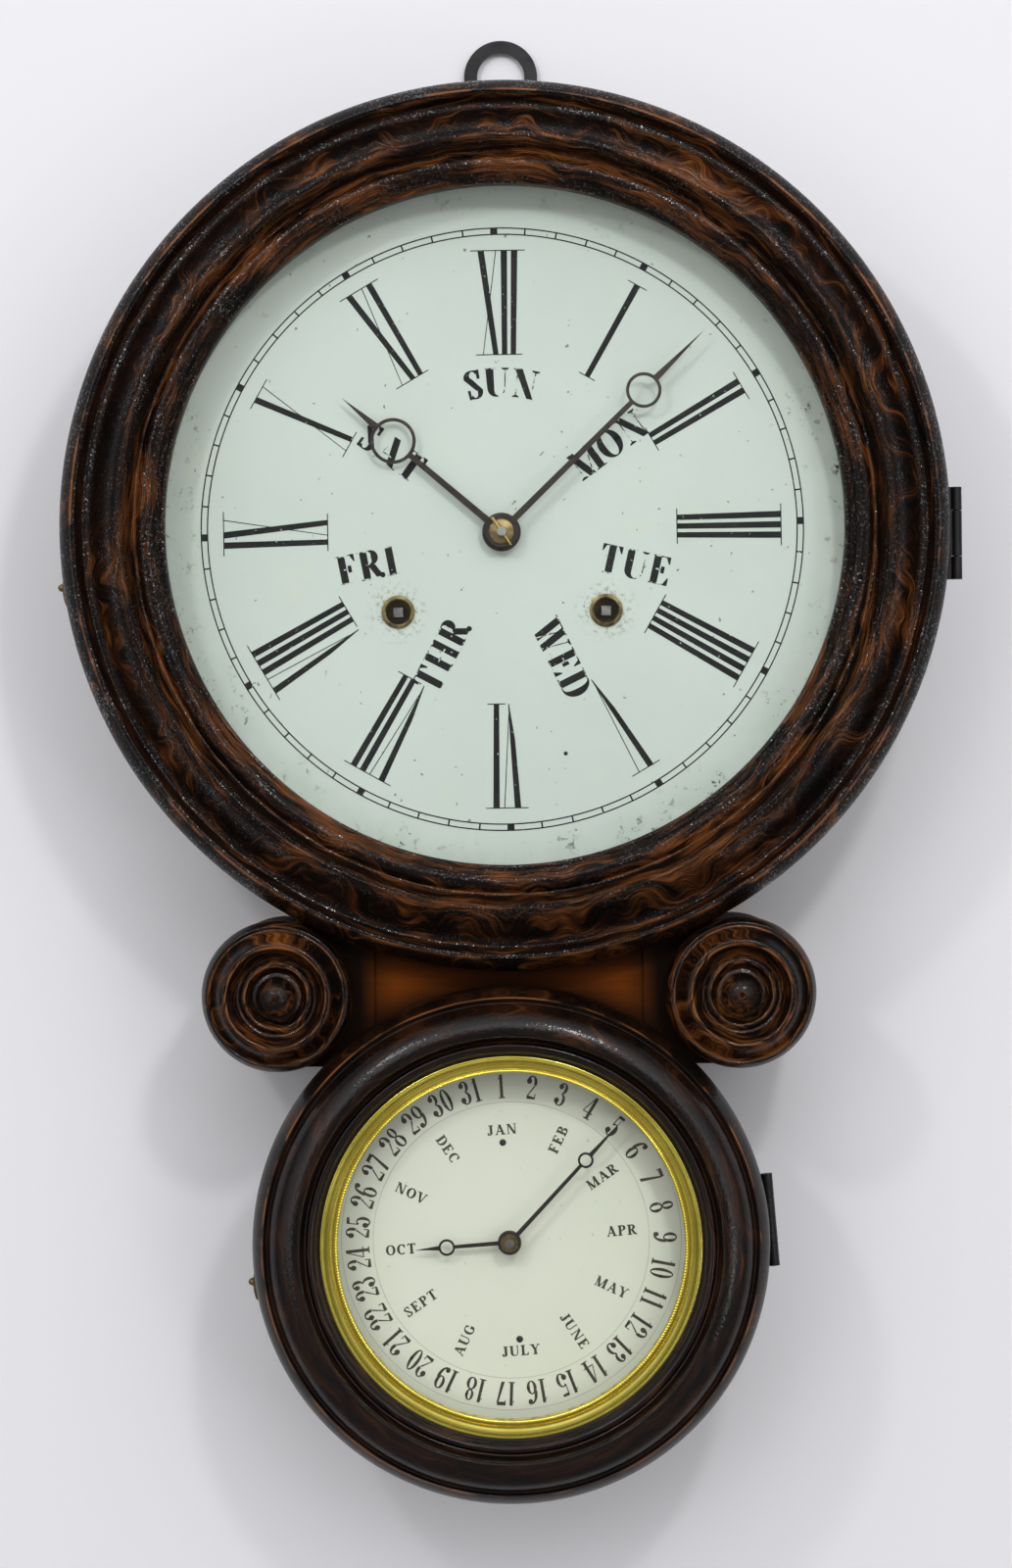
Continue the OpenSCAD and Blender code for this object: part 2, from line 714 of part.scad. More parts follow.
module movement_pillars() color("darkgoldenrod") for (p = pillars) on_movement(p) {
  disc(5, board_t, plate_back);
  disc(2, plate_back, plate_front + 3);
  disc(4, back_z, front_z);
  disc(3.4, plate_front, plate_front + 2.4, $fn = 6);
}

// A ribbon that winds outward from r1 to r2
function ribbon(r1, r2, turns, thick, end) =
  let (steps = ceil(turns * 16),
       middle = [for (i = [0:steps]) [r1 + (r2 - r1) * i / steps, end - (steps - i) * 360 * turns / steps]])
  concat([for (p = middle) (p[0] - thick / 2) * [cos(p[1]), sin(p[1])]],
    [for (i = [steps:-1:0]) (middle[i][0] + thick / 2) * [cos(middle[i][1]), sin(middle[i][1])]]);

module mainspring() {
  hook = pillars[0] - great_at;
  reach = norm(hook);
  slab(spring_z, spring_z + spring_w) difference() {
    union() {
      polygon(ribbon(winding_r + 0.6, spring_r, 9, spring_thick, facing([0, 0], hook)));
      rotate(facing([0, 0], hook)) translate([spring_r - spring_thick / 2, -spring_thick / 2])
        square([reach - spring_r - 4, spring_thick]);
      translate(hook) circle(4.9);
    }
    translate(hook) circle(4.2);
  }
}

module mainsprings() color("slategray") on_movement([0, 0]) both_sides() at(great_at) mainspring();

// Great wheels, their clicks and the winding arbors
module click() {
  pivot = [0, ratchet_r + 6];
  nose = [-ratchet_r * sin(40) - 0.4, ratchet_r * cos(40)];
  slab(ratchet_z + 0.1, great_z) difference() {
    hull() {
      translate(pivot) circle(2.6, $fn = 32);
      translate(nose + [-0.8, 0.9]) circle(0.7, $fn = 32);
    }
    circle(ratchet_r + 0.15);
  }
  at(pivot) disc(1.2, ratchet_z - 0.6, ratchet_z + 0.1);
}

module great_wheel() {
  wheel(great_n, great_m, winding_r + running_gap, great_z, great_t);
  click();
}

module time_great_wheel() color("goldenrod") on_movement(great_at) great_wheel();

module strike_great_wheel() color("goldenrod") on_movement(strike_great_at) mirror([1, 0]) great_wheel();

function ratchet_outline() = [for (i = [0:ratchet_n - 1]) for (p = [[ratchet_r, 0], [ratchet_r - 2, 4]])
  let (turn = i * 360 / ratchet_n + p[1]) p[0] * [cos(turn), sin(turn)]];

module winding_arbor() {
  disc(arbor_r, plate_back, back_z + over);
  disc(winding_r, back_z + 0.2, plate_front + over);
  slab(ratchet_z, ratchet_z + ratchet_t) polygon(ratchet_outline());
  translate([0, 0, (plate_front + square_end) / 2])
    cube([winding_square, winding_square, square_end - plate_front], center = true);
}

module time_winding_arbor() color("silver") on_movement(great_at) winding_arbor();

module strike_winding_arbor() color("silver") on_movement(strike_great_at) mirror([1, 0]) winding_arbor();

// Going train
module second_wheel() color("goldenrod") on_movement(second_at) {
  pivoted_arbor();
  pinion(great_leaves, great_m, 0, great_z - 0.5, second_z,
    mesh_phase(great_n, great_leaves, great_at, second_at));
  wheel(second_n, second_m, 0, second_z, arms = 5);
}

module centre_wheel() color("goldenrod") on_movement([0, 0]) {
  pinion(centre_leaves, second_m, arbor_r + running_gap, second_z - 0.5, second_z + 2,
    mesh_phase(second_n, centre_leaves, second_at, [0, 0]));
  wheel(centre_n, centre_m, arbor_r + running_gap, centre_z);
  tube(2.6, arbor_r + running_gap, centre_z, second_z - 0.5);
}

module fourth_wheel() color("goldenrod") on_movement(fourth_at) {
  pivoted_arbor();
  pinion(quick_leaves, centre_m, 0, centre_z - 1, centre_z + 2.5,
    mesh_phase(centre_n, quick_leaves, [0, 0], fourth_at));
  wheel(fourth_n, fourth_m, 0, fourth_z);
}

module escape_wheel() color("goldenrod") on_movement(escape_at) {
  disc(pivot_r, plate_back, escape_z + wheel_t + 1);
  disc(1.2, back_z + 0.2, front_z - 0.2);
  pinion(quick_leaves, fourth_m, 0, fourth_z - 1, fourth_z + 2.5,
    mesh_phase(fourth_n, quick_leaves, fourth_at, escape_at));
  slab(escape_z, escape_z + wheel_t) difference() {
    polygon(teeth(escape_teeth, escape_r - 2, escape_r, 0.5, 0.1));
    difference() {
      circle(escape_r - 3.6);
      circle(3);
      for (i = [1:4]) rotate(i * 90) translate([0, -0.8]) square([escape_r, 1.6]);
    }
  }
}

// Striking
module pin_wheel() color("goldenrod") on_movement(pin_wheel_at) {
  pivoted_arbor();
  pinion(great_leaves, great_m, 0, great_z - 0.5, second_z,
    mesh_phase(great_n, great_leaves, strike_great_at, pin_wheel_at));
  wheel(pin_wheel_n, second_m, 0, second_z);
  for (i = [0:3]) rotate(i * 90) translate([lift_pin_r, 0]) disc(0.8, second_z + wheel_t, front_z - 0.6);
}

module hammer() color("dimgray") on_movement(hammer_at) {
  reach = hammer_head - hammer_at;
  tail = pin_wheel_at - hammer_at;
  disc(arbor_r, hammer_z - 1.5, front_z - 0.2);
  disc(pivot_r, front_z - over, plate_front);
  slab(second_z + wheel_t + 0.5, front_z - 0.5) rotate(facing([0, 0], tail)) translate([0, -0.8])
    square([norm(tail) - lift_pin_r - 1.3, 1.6]);
  translate([0, 0, hammer_z]) rotate([0, 0, facing([0, 0], reach)]) rotate([0, 90, 0])
    disc(0.9, 0, norm(reach) - 2);
  translate([reach.x - 4.5, reach.y, hammer_z]) rotate([0, 90, 0]) disc(4, 0, 9);
}

module gong() color("slategray") on_movement(gong_at) {
  disc(8, board_t, hammer_z + 4);
  slab(hammer_z - 1, hammer_z + 1) polygon(ribbon(9.2, gong_r - 1, 5, 2, 180));
}

// Escapement and pendulum
module verge() color("silver") on_movement(verge_at) {
  to_escape = escape_at - verge_at;
  difference() {
    union() {
      disc(2.4, escape_z - 1.4, escape_z + 2.5);
      for (side = [-1, 1]) {
        nose = to_escape + (escape_r + nose_gap) * [side * sin(verge_nose), cos(verge_nose)];
        shoulder = nose + [side * 1.6, 3.2];
        slab(escape_z, escape_z + wheel_t) {
          polygon([[0, 1.2], shoulder + [side * 0.6, 0.8], nose + [side * 1.4, 0.6], nose,
            nose + [-side * 0.2, 0.9], shoulder + [-side * 1.4, -0.8], [0, -2]]);
        }
      }
      slab(escape_z + 2.5, escape_z + 3.7) translate([-0.6, -fork_drop]) square([1.2, fork_drop + 2.4]);
      for (side = [-1, 1]) slab(escape_z + 2.5, rod_z + 2)
        translate([side * 1.45 - 0.5, -fork_drop - 1.5]) square([1, 3]);
      slab(escape_z + 2.5, escape_z + 3.7) translate([-1.95, -fork_drop - 1.5]) square([3.9, 3]);
    }
    disc(verge_pin_r + running_gap, escape_z - 3, escape_z + 5);
  }
}

module pendulum_rod() color("silver") on_movement(suspension_at) {
  difference() {
    union() {
      disc(2.6, rod_z - 1.4, rod_z + 1.4);
      translate([-0.3, -16, rod_z - 1.4]) cube([0.6, 15, 2.8]);
    }
    disc(arbor_r + running_gap, rod_z - 3, rod_z + 3);
  }
  translate([0, -15, rod_z]) rotate([90, 0, 0]) disc(rod_r, 0, pendulum_len + bob_r - 11);
  translate([0, -pendulum_len - bob_r - 0.3, rod_z]) rotate([90, 0, 0]) disc(2.8, 0, 2);
}

module pendulum_bob() color("gold") on_movement(bob_at) difference() {
  translate([0, 0, rod_z]) spin(concat(
    [for (i = [0:6]) [bob_r * sin(i * 15), 3.4 * cos(i * 15)]],
    [for (i = [1:6]) [bob_r * cos(i * 15), -3.4 * sin(i * 15)]]
  ));
  translate([-rod_r - running_gap, -bob_r - over, rod_z - bob_r])
    cube([2 * (rod_r + running_gap), 2 * (bob_r + over), bob_r + rod_r + running_gap]);
}

// Motion work
first_m = 2 * motion_gap / (first_n + first_leaves);
last_m = 2 * motion_gap / (last_n + last_leaves);

// A shaft for a pair of hands, with a cross hole for the pin that holds them
module minute_arbor() color("silver") on_movement([0, 0]) {
  disc(pivot_r, plate_back, back_z + over);
  disc(arbor_r, back_z + 0.2, plate_front + over);
  difference() {
    disc(hand_arbor_r, plate_front + 0.4, arbor_end);
    clockwise(minute_angle + pin_turn) translate([-hand_arbor_r - over, 0, pin_z]) rotate([0, 90, 0])
      cylinder(r = pin_hole_r, h = 2 * (hand_arbor_r + over));
  }
  pinion(first_leaves, first_m, 0, plate_front + 0.5, plate_front + 4.4, 0);
}

module minute_wheel() color("goldenrod") on_movement(stud_at) {
  rotate(mesh_phase(first_leaves, first_n, [0, 0], stud_at))
    wheel(first_n, first_m, arbor_r + running_gap, plate_front + 1.5);
  pinion(last_leaves, last_m, arbor_r + running_gap, plate_front + 3, plate_front + 8, 0);
}

module hour_pipe() color("goldenrod") on_movement([0, 0]) {
  tube(pipe_r, hand_arbor_r + running_gap, plate_front + 5.2, hour_z + hand_t + 0.4);
  rotate(mesh_phase(last_leaves, last_n, stud_at, [0, 0]))
    wheel(last_n, last_m, pipe_r - 0.5, plate_front + 5.5);
}

// Hands
// A hand drawn pointing up: hub, tapering shaft, open ring and pointed tip
module moon_hand(reach, ring_at, ring_r, wire, root_w, neck_w, hub_r, hole_r) difference() {
  union() {
    circle(hub_r);
    difference() {
      polygon([
        [-root_w / 2, 0], [root_w / 2, 0], [neck_w / 2, ring_at], [root_w / 2, ring_at + ring_r],
        [0, reach], [-root_w / 2, ring_at + ring_r], [-neck_w / 2, ring_at]
      ]);
      translate([0, ring_at]) circle(ring_r - wire / 2);
    }
    translate([0, ring_at]) difference() {
      circle(ring_r);
      circle(ring_r - wire);
    }
  }
  circle(hole_r);
}

module hour_hand() color("black") on_movement([0, 0]) slab(hour_z, hour_z + hand_t)
  clockwise(hour_angle) moon_hand(hour_len, hour_len - 29.5, 10.2, 1.5, 3.2, 2.4, 8.6, pipe_r + running_gap);

module minute_hand() color("black") on_movement([0, 0]) slab(minute_z, minute_z + hand_t)
  clockwise(minute_angle)
    moon_hand(minute_len, minute_len - 38, 7.9, 1.4, 3, 2.2, 7, hand_arbor_r + running_gap);

module hand_washer() color("gold") on_movement([0, 0]) translate([0, 0, minute_z + hand_t]) spin([
  [hand_arbor_r + running_gap, 0], [5.6, 0], [5.4, 0.4], [hand_arbor_r + running_gap, 0.9]
]);

module taper_pin() color("goldenrod") on_movement([0, 0]) clockwise(minute_angle + pin_turn)
  translate([-pin_len / 2, 0, pin_z]) rotate([0, 90, 0])
    cylinder(r1 = pin_hole_r - running_gap, r2 = 0.4, h = pin_len);

module date_hand() color("black") at(date_c) slab(minute_z, minute_z + hand_t)
  clockwise(date_angle) moon_hand(date_len, date_len - 24.5, 3.5, 1, 2, 1.5, 5.2, hand_arbor_r + running_gap);

module month_hand() color("black") at(date_c) slab(hour_z, hour_z + hand_t)
  clockwise(month_angle) moon_hand(month_len, month_len - 14, 3.7, 1, 1.9, 1.5, 5.2, pipe_r + running_gap);

// Calendar work, which hangs behind the calendar board
module date_arbor() color("silver") at(date_c) {
  disc(hand_arbor_r, calendar_wheel_z - 3.5, minute_z + hand_t + 2.4);
  pinion(first_leaves, first_m, 0, calendar_wheel_z - 1, calendar_wheel_z + 2.4, 0);
  slab(calendar_wheel_z - 3.5, calendar_wheel_z - 2) polygon(teeth(31, 13, 15, 0.6, 0.1));
}

module calendar_wheel() color("goldenrod") at(date_c + calendar_stud_at) {
  rotate(mesh_phase(first_leaves, first_n, [0, 0], calendar_stud_at))
    wheel(first_n, first_m, arbor_r + running_gap, calendar_wheel_z);
  pinion(last_leaves, last_m, arbor_r + running_gap, calendar_wheel_z + wheel_t, board_rear - 0.5, 0);
}

module month_pipe() color("goldenrod") at(date_c) {
  tube(pipe_r, hand_arbor_r + running_gap, month_wheel_z - 0.3, hour_z + hand_t + 0.4);
  rotate(mesh_phase(last_leaves, last_n, calendar_stud_at, [0, 0]))
    wheel(last_n, last_m, pipe_r - 0.5, month_wheel_z);
}

module calendar_nut() color("gold") at(date_c, minute_z + hand_t) difference() {
  union() {
    disc(3.4, 0, 1.6, $fn = 6);
    disc(4, 0, 0.4);
  }
  disc(hand_arbor_r + running_gap, -over, 3);
}

on_wall() backboard();
on_wall() upper_drum();
on_wall() lower_drum();
on_wall() waist_blocks();
on_wall() waist_board();
on_wall() left_roundel();
on_wall() right_roundel();
on_wall() hanger_plate();
on_wall() hanger_screws();
on_wall() upper_dial_board();
on_wall() upper_dial();
on_wall() winding_collets();
on_wall() calendar_board();
on_wall() calendar_dial();
on_wall() calendar_pins();
on_wall() case_hinge_leaves();
on_wall() hinge_pins();
on_wall() upper_door_ring();
on_wall() upper_glass();
on_wall() upper_putty();
on_wall() upper_door_leaf();
on_wall() lower_door_ring();
on_wall() lower_bezel();
on_wall() lower_glass();
on_wall() lower_putty();
on_wall() lower_door_leaf();
on_wall() latch_pins();
on_wall() upper_latch();
on_wall() lower_latch();
on_wall() back_plate();
on_wall() front_plate();
on_wall() movement_pillars();
on_wall() mainsprings();
on_wall() time_great_wheel();
on_wall() time_winding_arbor();
on_wall() strike_great_wheel();
on_wall() strike_winding_arbor();
on_wall() second_wheel();
on_wall() centre_wheel();
on_wall() fourth_wheel();
on_wall() escape_wheel();
on_wall() pin_wheel();
on_wall() minute_arbor();
on_wall() minute_wheel();
on_wall() hour_pipe();
on_wall() hour_hand();
on_wall() minute_hand();
on_wall() hand_washer();
on_wall() taper_pin();
on_wall() verge();
on_wall() pendulum_rod();
on_wall() pendulum_bob();
on_wall() hammer();
on_wall() gong();
on_wall() date_arbor();
on_wall() calendar_wheel();
on_wall() month_pipe();
on_wall() date_hand();
on_wall() month_hand();
on_wall() calendar_nut();
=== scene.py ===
import math

import bmesh
import bpy
from mathutils import Matrix, Vector


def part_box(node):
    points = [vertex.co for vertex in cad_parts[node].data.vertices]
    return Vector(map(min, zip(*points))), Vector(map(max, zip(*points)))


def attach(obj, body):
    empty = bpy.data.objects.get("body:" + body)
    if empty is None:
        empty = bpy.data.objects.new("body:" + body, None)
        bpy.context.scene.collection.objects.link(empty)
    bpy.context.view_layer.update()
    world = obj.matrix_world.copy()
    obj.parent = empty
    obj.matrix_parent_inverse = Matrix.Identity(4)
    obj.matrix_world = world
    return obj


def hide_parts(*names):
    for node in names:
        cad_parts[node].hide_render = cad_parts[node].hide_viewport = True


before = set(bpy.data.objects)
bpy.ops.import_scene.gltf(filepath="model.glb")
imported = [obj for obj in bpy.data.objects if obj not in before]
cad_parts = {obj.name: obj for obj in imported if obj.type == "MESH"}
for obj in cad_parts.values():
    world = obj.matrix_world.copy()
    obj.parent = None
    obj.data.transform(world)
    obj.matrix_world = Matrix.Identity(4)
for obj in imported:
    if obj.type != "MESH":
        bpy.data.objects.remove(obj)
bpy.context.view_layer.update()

MM = 0.001


# Places taken from the frame. Depths are distances out of the wall, towards the viewer.
def middle(node):
    low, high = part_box(node)
    return (low + high) / 2


def half_width(node):
    low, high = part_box(node)
    return (high.x - low.x) / 2


def front(node):
    return -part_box(node)[0].y


def rear(node):
    return -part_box(node)[1].y


UPPER = middle("upper_glass")
LOWER = middle("lower_glass")
ARBOR = middle("hour_pipe")
ROUNDELS = {side: middle(side + "_roundel") for side in ("left", "right")}
DIAL = front("upper_dial")
CALENDAR = front("calendar_dial")
DOOR = rear("upper_door_ring")
CASE = front("upper_drum")
COLLET_R = 7.4 * MM
WINDING_OUT = half_width("winding_collets") - COLLET_R
WINDING_Z = middle("winding_collets").z


def facing_us(centre, u, v, out):
    """A point u to the right of and v above a centre, in metres, at a depth out of the wall."""
    return Vector((centre.x + u, -out, centre.z + v))


# Mesh helpers
def finish_mesh(name, bm, material, body, crease=35):
    bmesh.ops.remove_doubles(bm, verts=bm.verts, dist=1e-7)
    bmesh.ops.recalc_face_normals(bm, faces=bm.faces)
    mesh = bpy.data.meshes.new(name)
    bm.to_mesh(mesh)
    bm.free()
    mesh.shade_smooth()
    mesh.set_sharp_from_angle(angle=math.radians(crease))
    mesh.materials.append(material)
    piece = bpy.data.objects.new(name, mesh)
    bpy.context.scene.collection.objects.link(piece)
    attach(piece, body)
    return piece


def lathe(name, centre, outline, material, body, steps, wave=None, crease=35):
    """Turns a closed outline of (radius, depth) points about a centre.
    wave(angle, index) gives what is added to the radius and depth of a point."""
    bm = bmesh.new()
    rings = []
    for i in range(steps):
        angle = 2 * math.pi * i / steps
        ring = []
        for k, (radius, out) in enumerate(outline):
            if wave:
                more = wave(angle, k)
                radius, out = radius + more[0], out + more[1]
            place = facing_us(centre, radius * math.cos(angle), radius * math.sin(angle), out)
            ring.append(bm.verts.new(place))
        rings.append(ring)
    count = len(outline)
    for here, there in zip(rings, rings[1:] + rings[:1]):
        for k in range(count):
            j = (k + 1) % count
            bm.faces.new((here[k], here[j], there[j], there[k]))
    bmesh.ops.remove_doubles(bm, verts=bm.verts, dist=1e-6)
    bmesh.ops.dissolve_degenerate(bm, edges=bm.edges, dist=1e-6)
    return finish_mesh(name, bm, material, body, crease)


def shares(steps):
    return [i / steps for i in range(steps + 1)]


def ogee(a, b, steps):
    """A smooth step between two points of an outline."""
    return [(a[0] + (b[0] - a[0]) * t, a[1] + (b[1] - a[1]) * (1 - math.cos(math.pi * t)) / 2)
            for t in shares(steps)]


def swell(a, b, height, steps):
    """An arc between two points that swells to the left of the way along."""
    way = Vector(b) - Vector(a)
    left = Vector((-way.y, way.x)).normalized()
    return [tuple(Vector(a) + way * t + left * height * 4 * t * (1 - t)) for t in shares(steps)]


def arc(x, y, across, up, angles):
    """Points on an ellipse round (x, y) at angles in degrees."""
    return [(x + across * math.cos(math.radians(a)), y + up * math.sin(math.radians(a))) for a in angles]


def in_metres(points):
    return [(a * MM, b * MM) for a, b in points]


def add_strip(bm, place, pairs, low, high, closed=False):
    """A flat bar between pairs of points: place(u, v, out) puts them in space."""
    rows = [[bm.verts.new(place(u, v, out)) for (u, v) in pair for out in (low, high)] for pair in pairs]
    spans = list(zip(rows, rows[1:])) + ([(rows[-1], rows[0])] if closed else [])
    for here, there in spans:
        for a, b in ((0, 1), (1, 3), (3, 2), (2, 0)):
            bm.faces.new((here[a], here[b], there[b], there[a]))
    if not closed:
        for row in (rows[0], rows[-1]):
            bm.faces.new((row[0], row[1], row[3], row[2]))


# Materials
class Paint:
    """A material's node tree, with short calls for the nodes used here."""

    def __init__(self, name):
        self.material = bpy.data.materials.new(name)
        self.material.use_nodes = True
        self.tree = self.material.node_tree
        self.shader = self.tree.nodes["Principled BSDF"]
        self.place = self.node("TexCoord").outputs["Object"]

    def node(self, kind, **settings):
        made = self.tree.nodes.new("ShaderNode" + kind)
        for key, value in settings.items():
            setattr(made, key, value)
        return made

    def feed(self, socket, value):
        """Links a socket to an output, or sets it to a number or a colour."""
        if isinstance(value, bpy.types.NodeSocket):
            self.tree.links.new(value, socket)
        elif socket.type == "RGBA":
            socket.default_value = (*value, 1)
        else:
            socket.default_value = value

    def set(self, **values):
        for key, value in values.items():
            self.feed(self.shader.inputs[key.replace("_", " ")], value)

    def math(self, operation, *values):
        made = self.node("Math", operation=operation)
        for socket, value in zip(made.inputs, values):
            self.feed(socket, value)
        return made.outputs[0]

    def plus(self, a, b):
        return self.math("ADD", a, b)

    def less(self, a, b):
        return self.math("SUBTRACT", a, b)

    def times(self, a, b):
        return self.math("MULTIPLY", a, b)

    def total(self, *weighted):
        """The sum of values, each given with its weight."""
        products = [self.times(value, weight) for value, weight in weighted]
        result = products[0]
        for product in products[1:]:
            result = self.plus(result, product)
        return result

    def vector(self, operation, source, values):
        made = self.node("VectorMath", operation=operation)
        self.feed(made.inputs[0], source)
        self.feed(made.inputs[1], values)
        return made.outputs[0]

    def noise(self, scale, detail, rough, source=None, twist=0.0):
        made = self.node("TexNoise")
        self.feed(made.inputs["Vector"], source or self.place)
        for key, value in (("Scale", scale), ("Detail", detail), ("Roughness", rough), ("Distortion", twist)):
            self.feed(made.inputs[key], value)
        return made.outputs["Fac"]

    def ramp(self, source, *stops):
        """stops are (position, grey or colour)"""
        made = self.node("ValToRGB")
        self.feed(made.inputs[0], source)
        points = made.color_ramp.elements
        while len(points) < len(stops):
            points.new(0.5)
        for point, (at, colour) in zip(points, stops):
            point.position = at
            point.color = (*colour, 1) if isinstance(colour, tuple) else (colour, colour, colour, 1)
        return made.outputs["Color"]

    def fade(self, distance, reach, *stops):
        """A ramp over distances up to reach, with stops at (place, grey). Reach and places are in millimetres."""
        share = self.times(distance, 1 / (reach * MM))
        return self.ramp(share, *[(at / reach, grey) for at, grey in stops])

    def mix(self, share, a, b):
        made = self.node("Mix", data_type="RGBA")
        for key, value in ((0, share), (6, a), (7, b)):
            self.feed(made.inputs[key], value)
        return made.outputs[2]

    def spots(self, base, tone, noise, start, full, share=1.0):
        """Puts tone over base where the noise is above start, and from full on with the given share."""
        return self.mix(self.ramp(noise, (start, 0.0), (full, share)), base, tone)

    def bump(self, height, distance):
        made = self.node("Bump")
        self.feed(made.inputs["Height"], height)
        self.feed(made.inputs["Distance"], distance)
        return made.outputs["Normal"]

    def parts(self, source):
        made = self.node("SeparateXYZ")
        self.feed(made.inputs[0], source)
        return made.outputs

    def joined(self, x, y, z):
        made = self.node("CombineXYZ")
        for socket, value in zip(made.inputs, (x, y, z)):
            self.feed(socket, value)
        return made.outputs[0]

    def around(self, centre):
        """Distance from a centre in the plane of the wall, and the direction from it as x and z shares."""
        x, _, z = self.parts(self.vector("SUBTRACT", self.place, tuple(centre)))
        radius = self.math("SQRT", self.plus(self.times(x, x), self.times(z, z)))
        radius = self.math("MAXIMUM", radius, 1e-5)
        return radius, self.math("DIVIDE", x, radius), self.math("DIVIDE", z, radius)

    def outward(self):
        """How far out of the wall a point is."""
        return self.times(self.parts(self.place)[1], -1.0)

    def see_through(self, share, tint=(1, 1, 1)):
        """Lets rays pass straight through, tinted, where share is 1."""
        clear = self.node("BsdfTransparent")
        self.feed(clear.inputs["Color"], tint)
        choice = self.node("MixShader")
        for socket, value in zip(choice.inputs, (share, self.shader.outputs[0], clear.outputs[0])):
            self.feed(socket, value)
        self.feed(self.tree.nodes["Material Output"].inputs["Surface"], choice.outputs[0])


GLINTING = 0.4 * MM


def varnish(paint, sheen, crazing):
    """Old varnish with pebbles that glint in the lamps, fully when they are as high as GLINTING. sheen is how
    glossy it is between them, and crazing their height."""
    pebbles = paint.noise(620, 2.0, 0.5)
    glints = paint.total((paint.noise(950, 1.0, 0.5), 1.0), (paint.noise(70, 2.0, 0.5), 0.4))
    glints = paint.ramp(glints, (0.80, sheen), (0.88, max(sheen, crazing / GLINTING)))
    paint.set(Normal=paint.bump(pebbles, 0.3 * crazing), Specular_IOR_Level=0.05, Coat_Weight=glints,
              Coat_Roughness=0.14, Coat_IOR=1.6, Coat_Normal=paint.bump(pebbles, crazing))


CALM_MIDDLE = 12.5 * MM


def streaks(paint, radius, across, up, spread, grain, seed):
    """Three layers of noise, from broad to fine, drawn out along the turning and leaning a little.
    spread is how many streaks go round, fewer within CALM_MIDDLE, and grain how many lie across a metre."""
    spread_here = paint.math("MINIMUM", paint.times(radius, 1 / CALM_MIDDLE), 1.0)
    turn_x = paint.times(paint.times(across, spread_here), spread)
    turn_z = paint.times(paint.times(up, spread_here), spread)
    depth = paint.parts(paint.place)[1]
    reach = paint.times(paint.less(radius, paint.times(depth, 0.6)), grain)
    slant = paint.noise(1.0, 2.0, 0.5, paint.joined(turn_x, paint.times(reach, 0.15), turn_z))
    lean = paint.joined(turn_x, paint.plus(paint.times(slant, 2.0), reach), turn_z)
    lean = paint.vector("SUBTRACT", lean, (seed, 2 * seed, 0))
    zone = paint.noise(0.9, 2.0, 0.5, lean)
    strand = paint.noise(1.5, 3.0, 0.5, paint.vector("MULTIPLY", lean, (1.0, 2.4, 1.0)))
    brush = paint.noise(3.2, 3.0, 0.65, paint.vector("MULTIPLY", lean, (1.0, 7.0, 1.0)))
    return zone, strand, brush


RUBBED = (0.22, 0.078, 0.022)


def turned_wood(name, centre, spread, grain, seed, bare, sheen, crazing, worn, rim=1000):
    """Black-brown paint brushed over an orange ground, in streaks that follow the turning.
    bare is how much of the ground is left showing. worn lists edges that are rubbed through, as their radius and
    width. Less of the ground shows outside the radius rim, so it is darker there. These three lengths are in
    millimetres."""
    paint = Paint(name)
    radius, across, up = paint.around(centre)
    zone, strand, brush = streaks(paint, radius, across, up, spread, grain, seed)
    share = paint.total((zone, 0.38), (strand, 0.36), (brush, 0.26), (paint.times(up, up), 0.03))
    share = paint.less(share, paint.fade(paint.less(radius, rim * MM), 1000, (0, 0.0), (12, 0.045)))
    edge = 0.69 - 0.34 * bare
    show = paint.ramp(share, (edge - 0.06, 0.0), (edge - 0.01, 0.35), (edge + 0.065, 1.0))
    ground = paint.ramp(brush, (0.3, (0.042, 0.012, 0.003)), (0.5, (0.10, 0.031, 0.007)),
                        (0.7, (0.215, 0.073, 0.018)))
    film = paint.ramp(paint.total((strand, 0.55), (brush, 0.45)), (0.42, (0.003, 0.002, 0.0017)),
                      (0.53, (0.010, 0.004, 0.0022)), (0.66, (0.035, 0.012, 0.004)))
    tone = paint.mix(show, film, ground)
    rubbed = paint.ramp(strand, (0.44, 0.0), (0.58, 0.8))
    for edge_r, width in worn:
        away = paint.math("ABSOLUTE", paint.less(radius, edge_r * MM))
        line = paint.ramp(paint.math("DIVIDE", away, width * MM), (0.3, 1.0), (1.0, 0.0))
        tone = paint.mix(paint.times(line, rubbed), tone, RUBBED)
    paint.set(Base_Color=tone, Roughness=0.36)
    varnish(paint, sheen, crazing)
    return paint.material


ALONG = {"x": (4, 40, 60), "z": (60, 40, 4)}
GRAIN_DEPTH = 0.08 * MM
DARK_STAIN = (0.006, 0.0035, 0.0025)
LIGHT_STAIN = (0.02, 0.0095, 0.0055)


def wood_grain(paint, along, stretch):
    return paint.noise(stretch, 6.0, 0.6, paint.vector("MULTIPLY", paint.place, ALONG[along]), 0.5)


def flat_wood(name, dark, light, along, stretch, roughness, specular):
    """Stained wood with pores, and with grain along one axis ('x' or 'z')."""
    paint = Paint(name)
    grain = wood_grain(paint, along, stretch)
    pores = paint.noise(stretch * 5, 2.0, 0.6, paint.vector("MULTIPLY", paint.place, ALONG[along]))
    tone = paint.ramp(grain, (0.3, dark), (0.7, light))
    tone = paint.mix(paint.ramp(pores, (0.36, 0.5), (0.5, 0.0)), tone, tuple(c * 0.35 for c in dark))
    paint.set(Base_Color=tone, Roughness=roughness, Specular_IOR_Level=specular,
              Normal=paint.bump(paint.plus(grain, pores), GRAIN_DEPTH))
    return paint.material


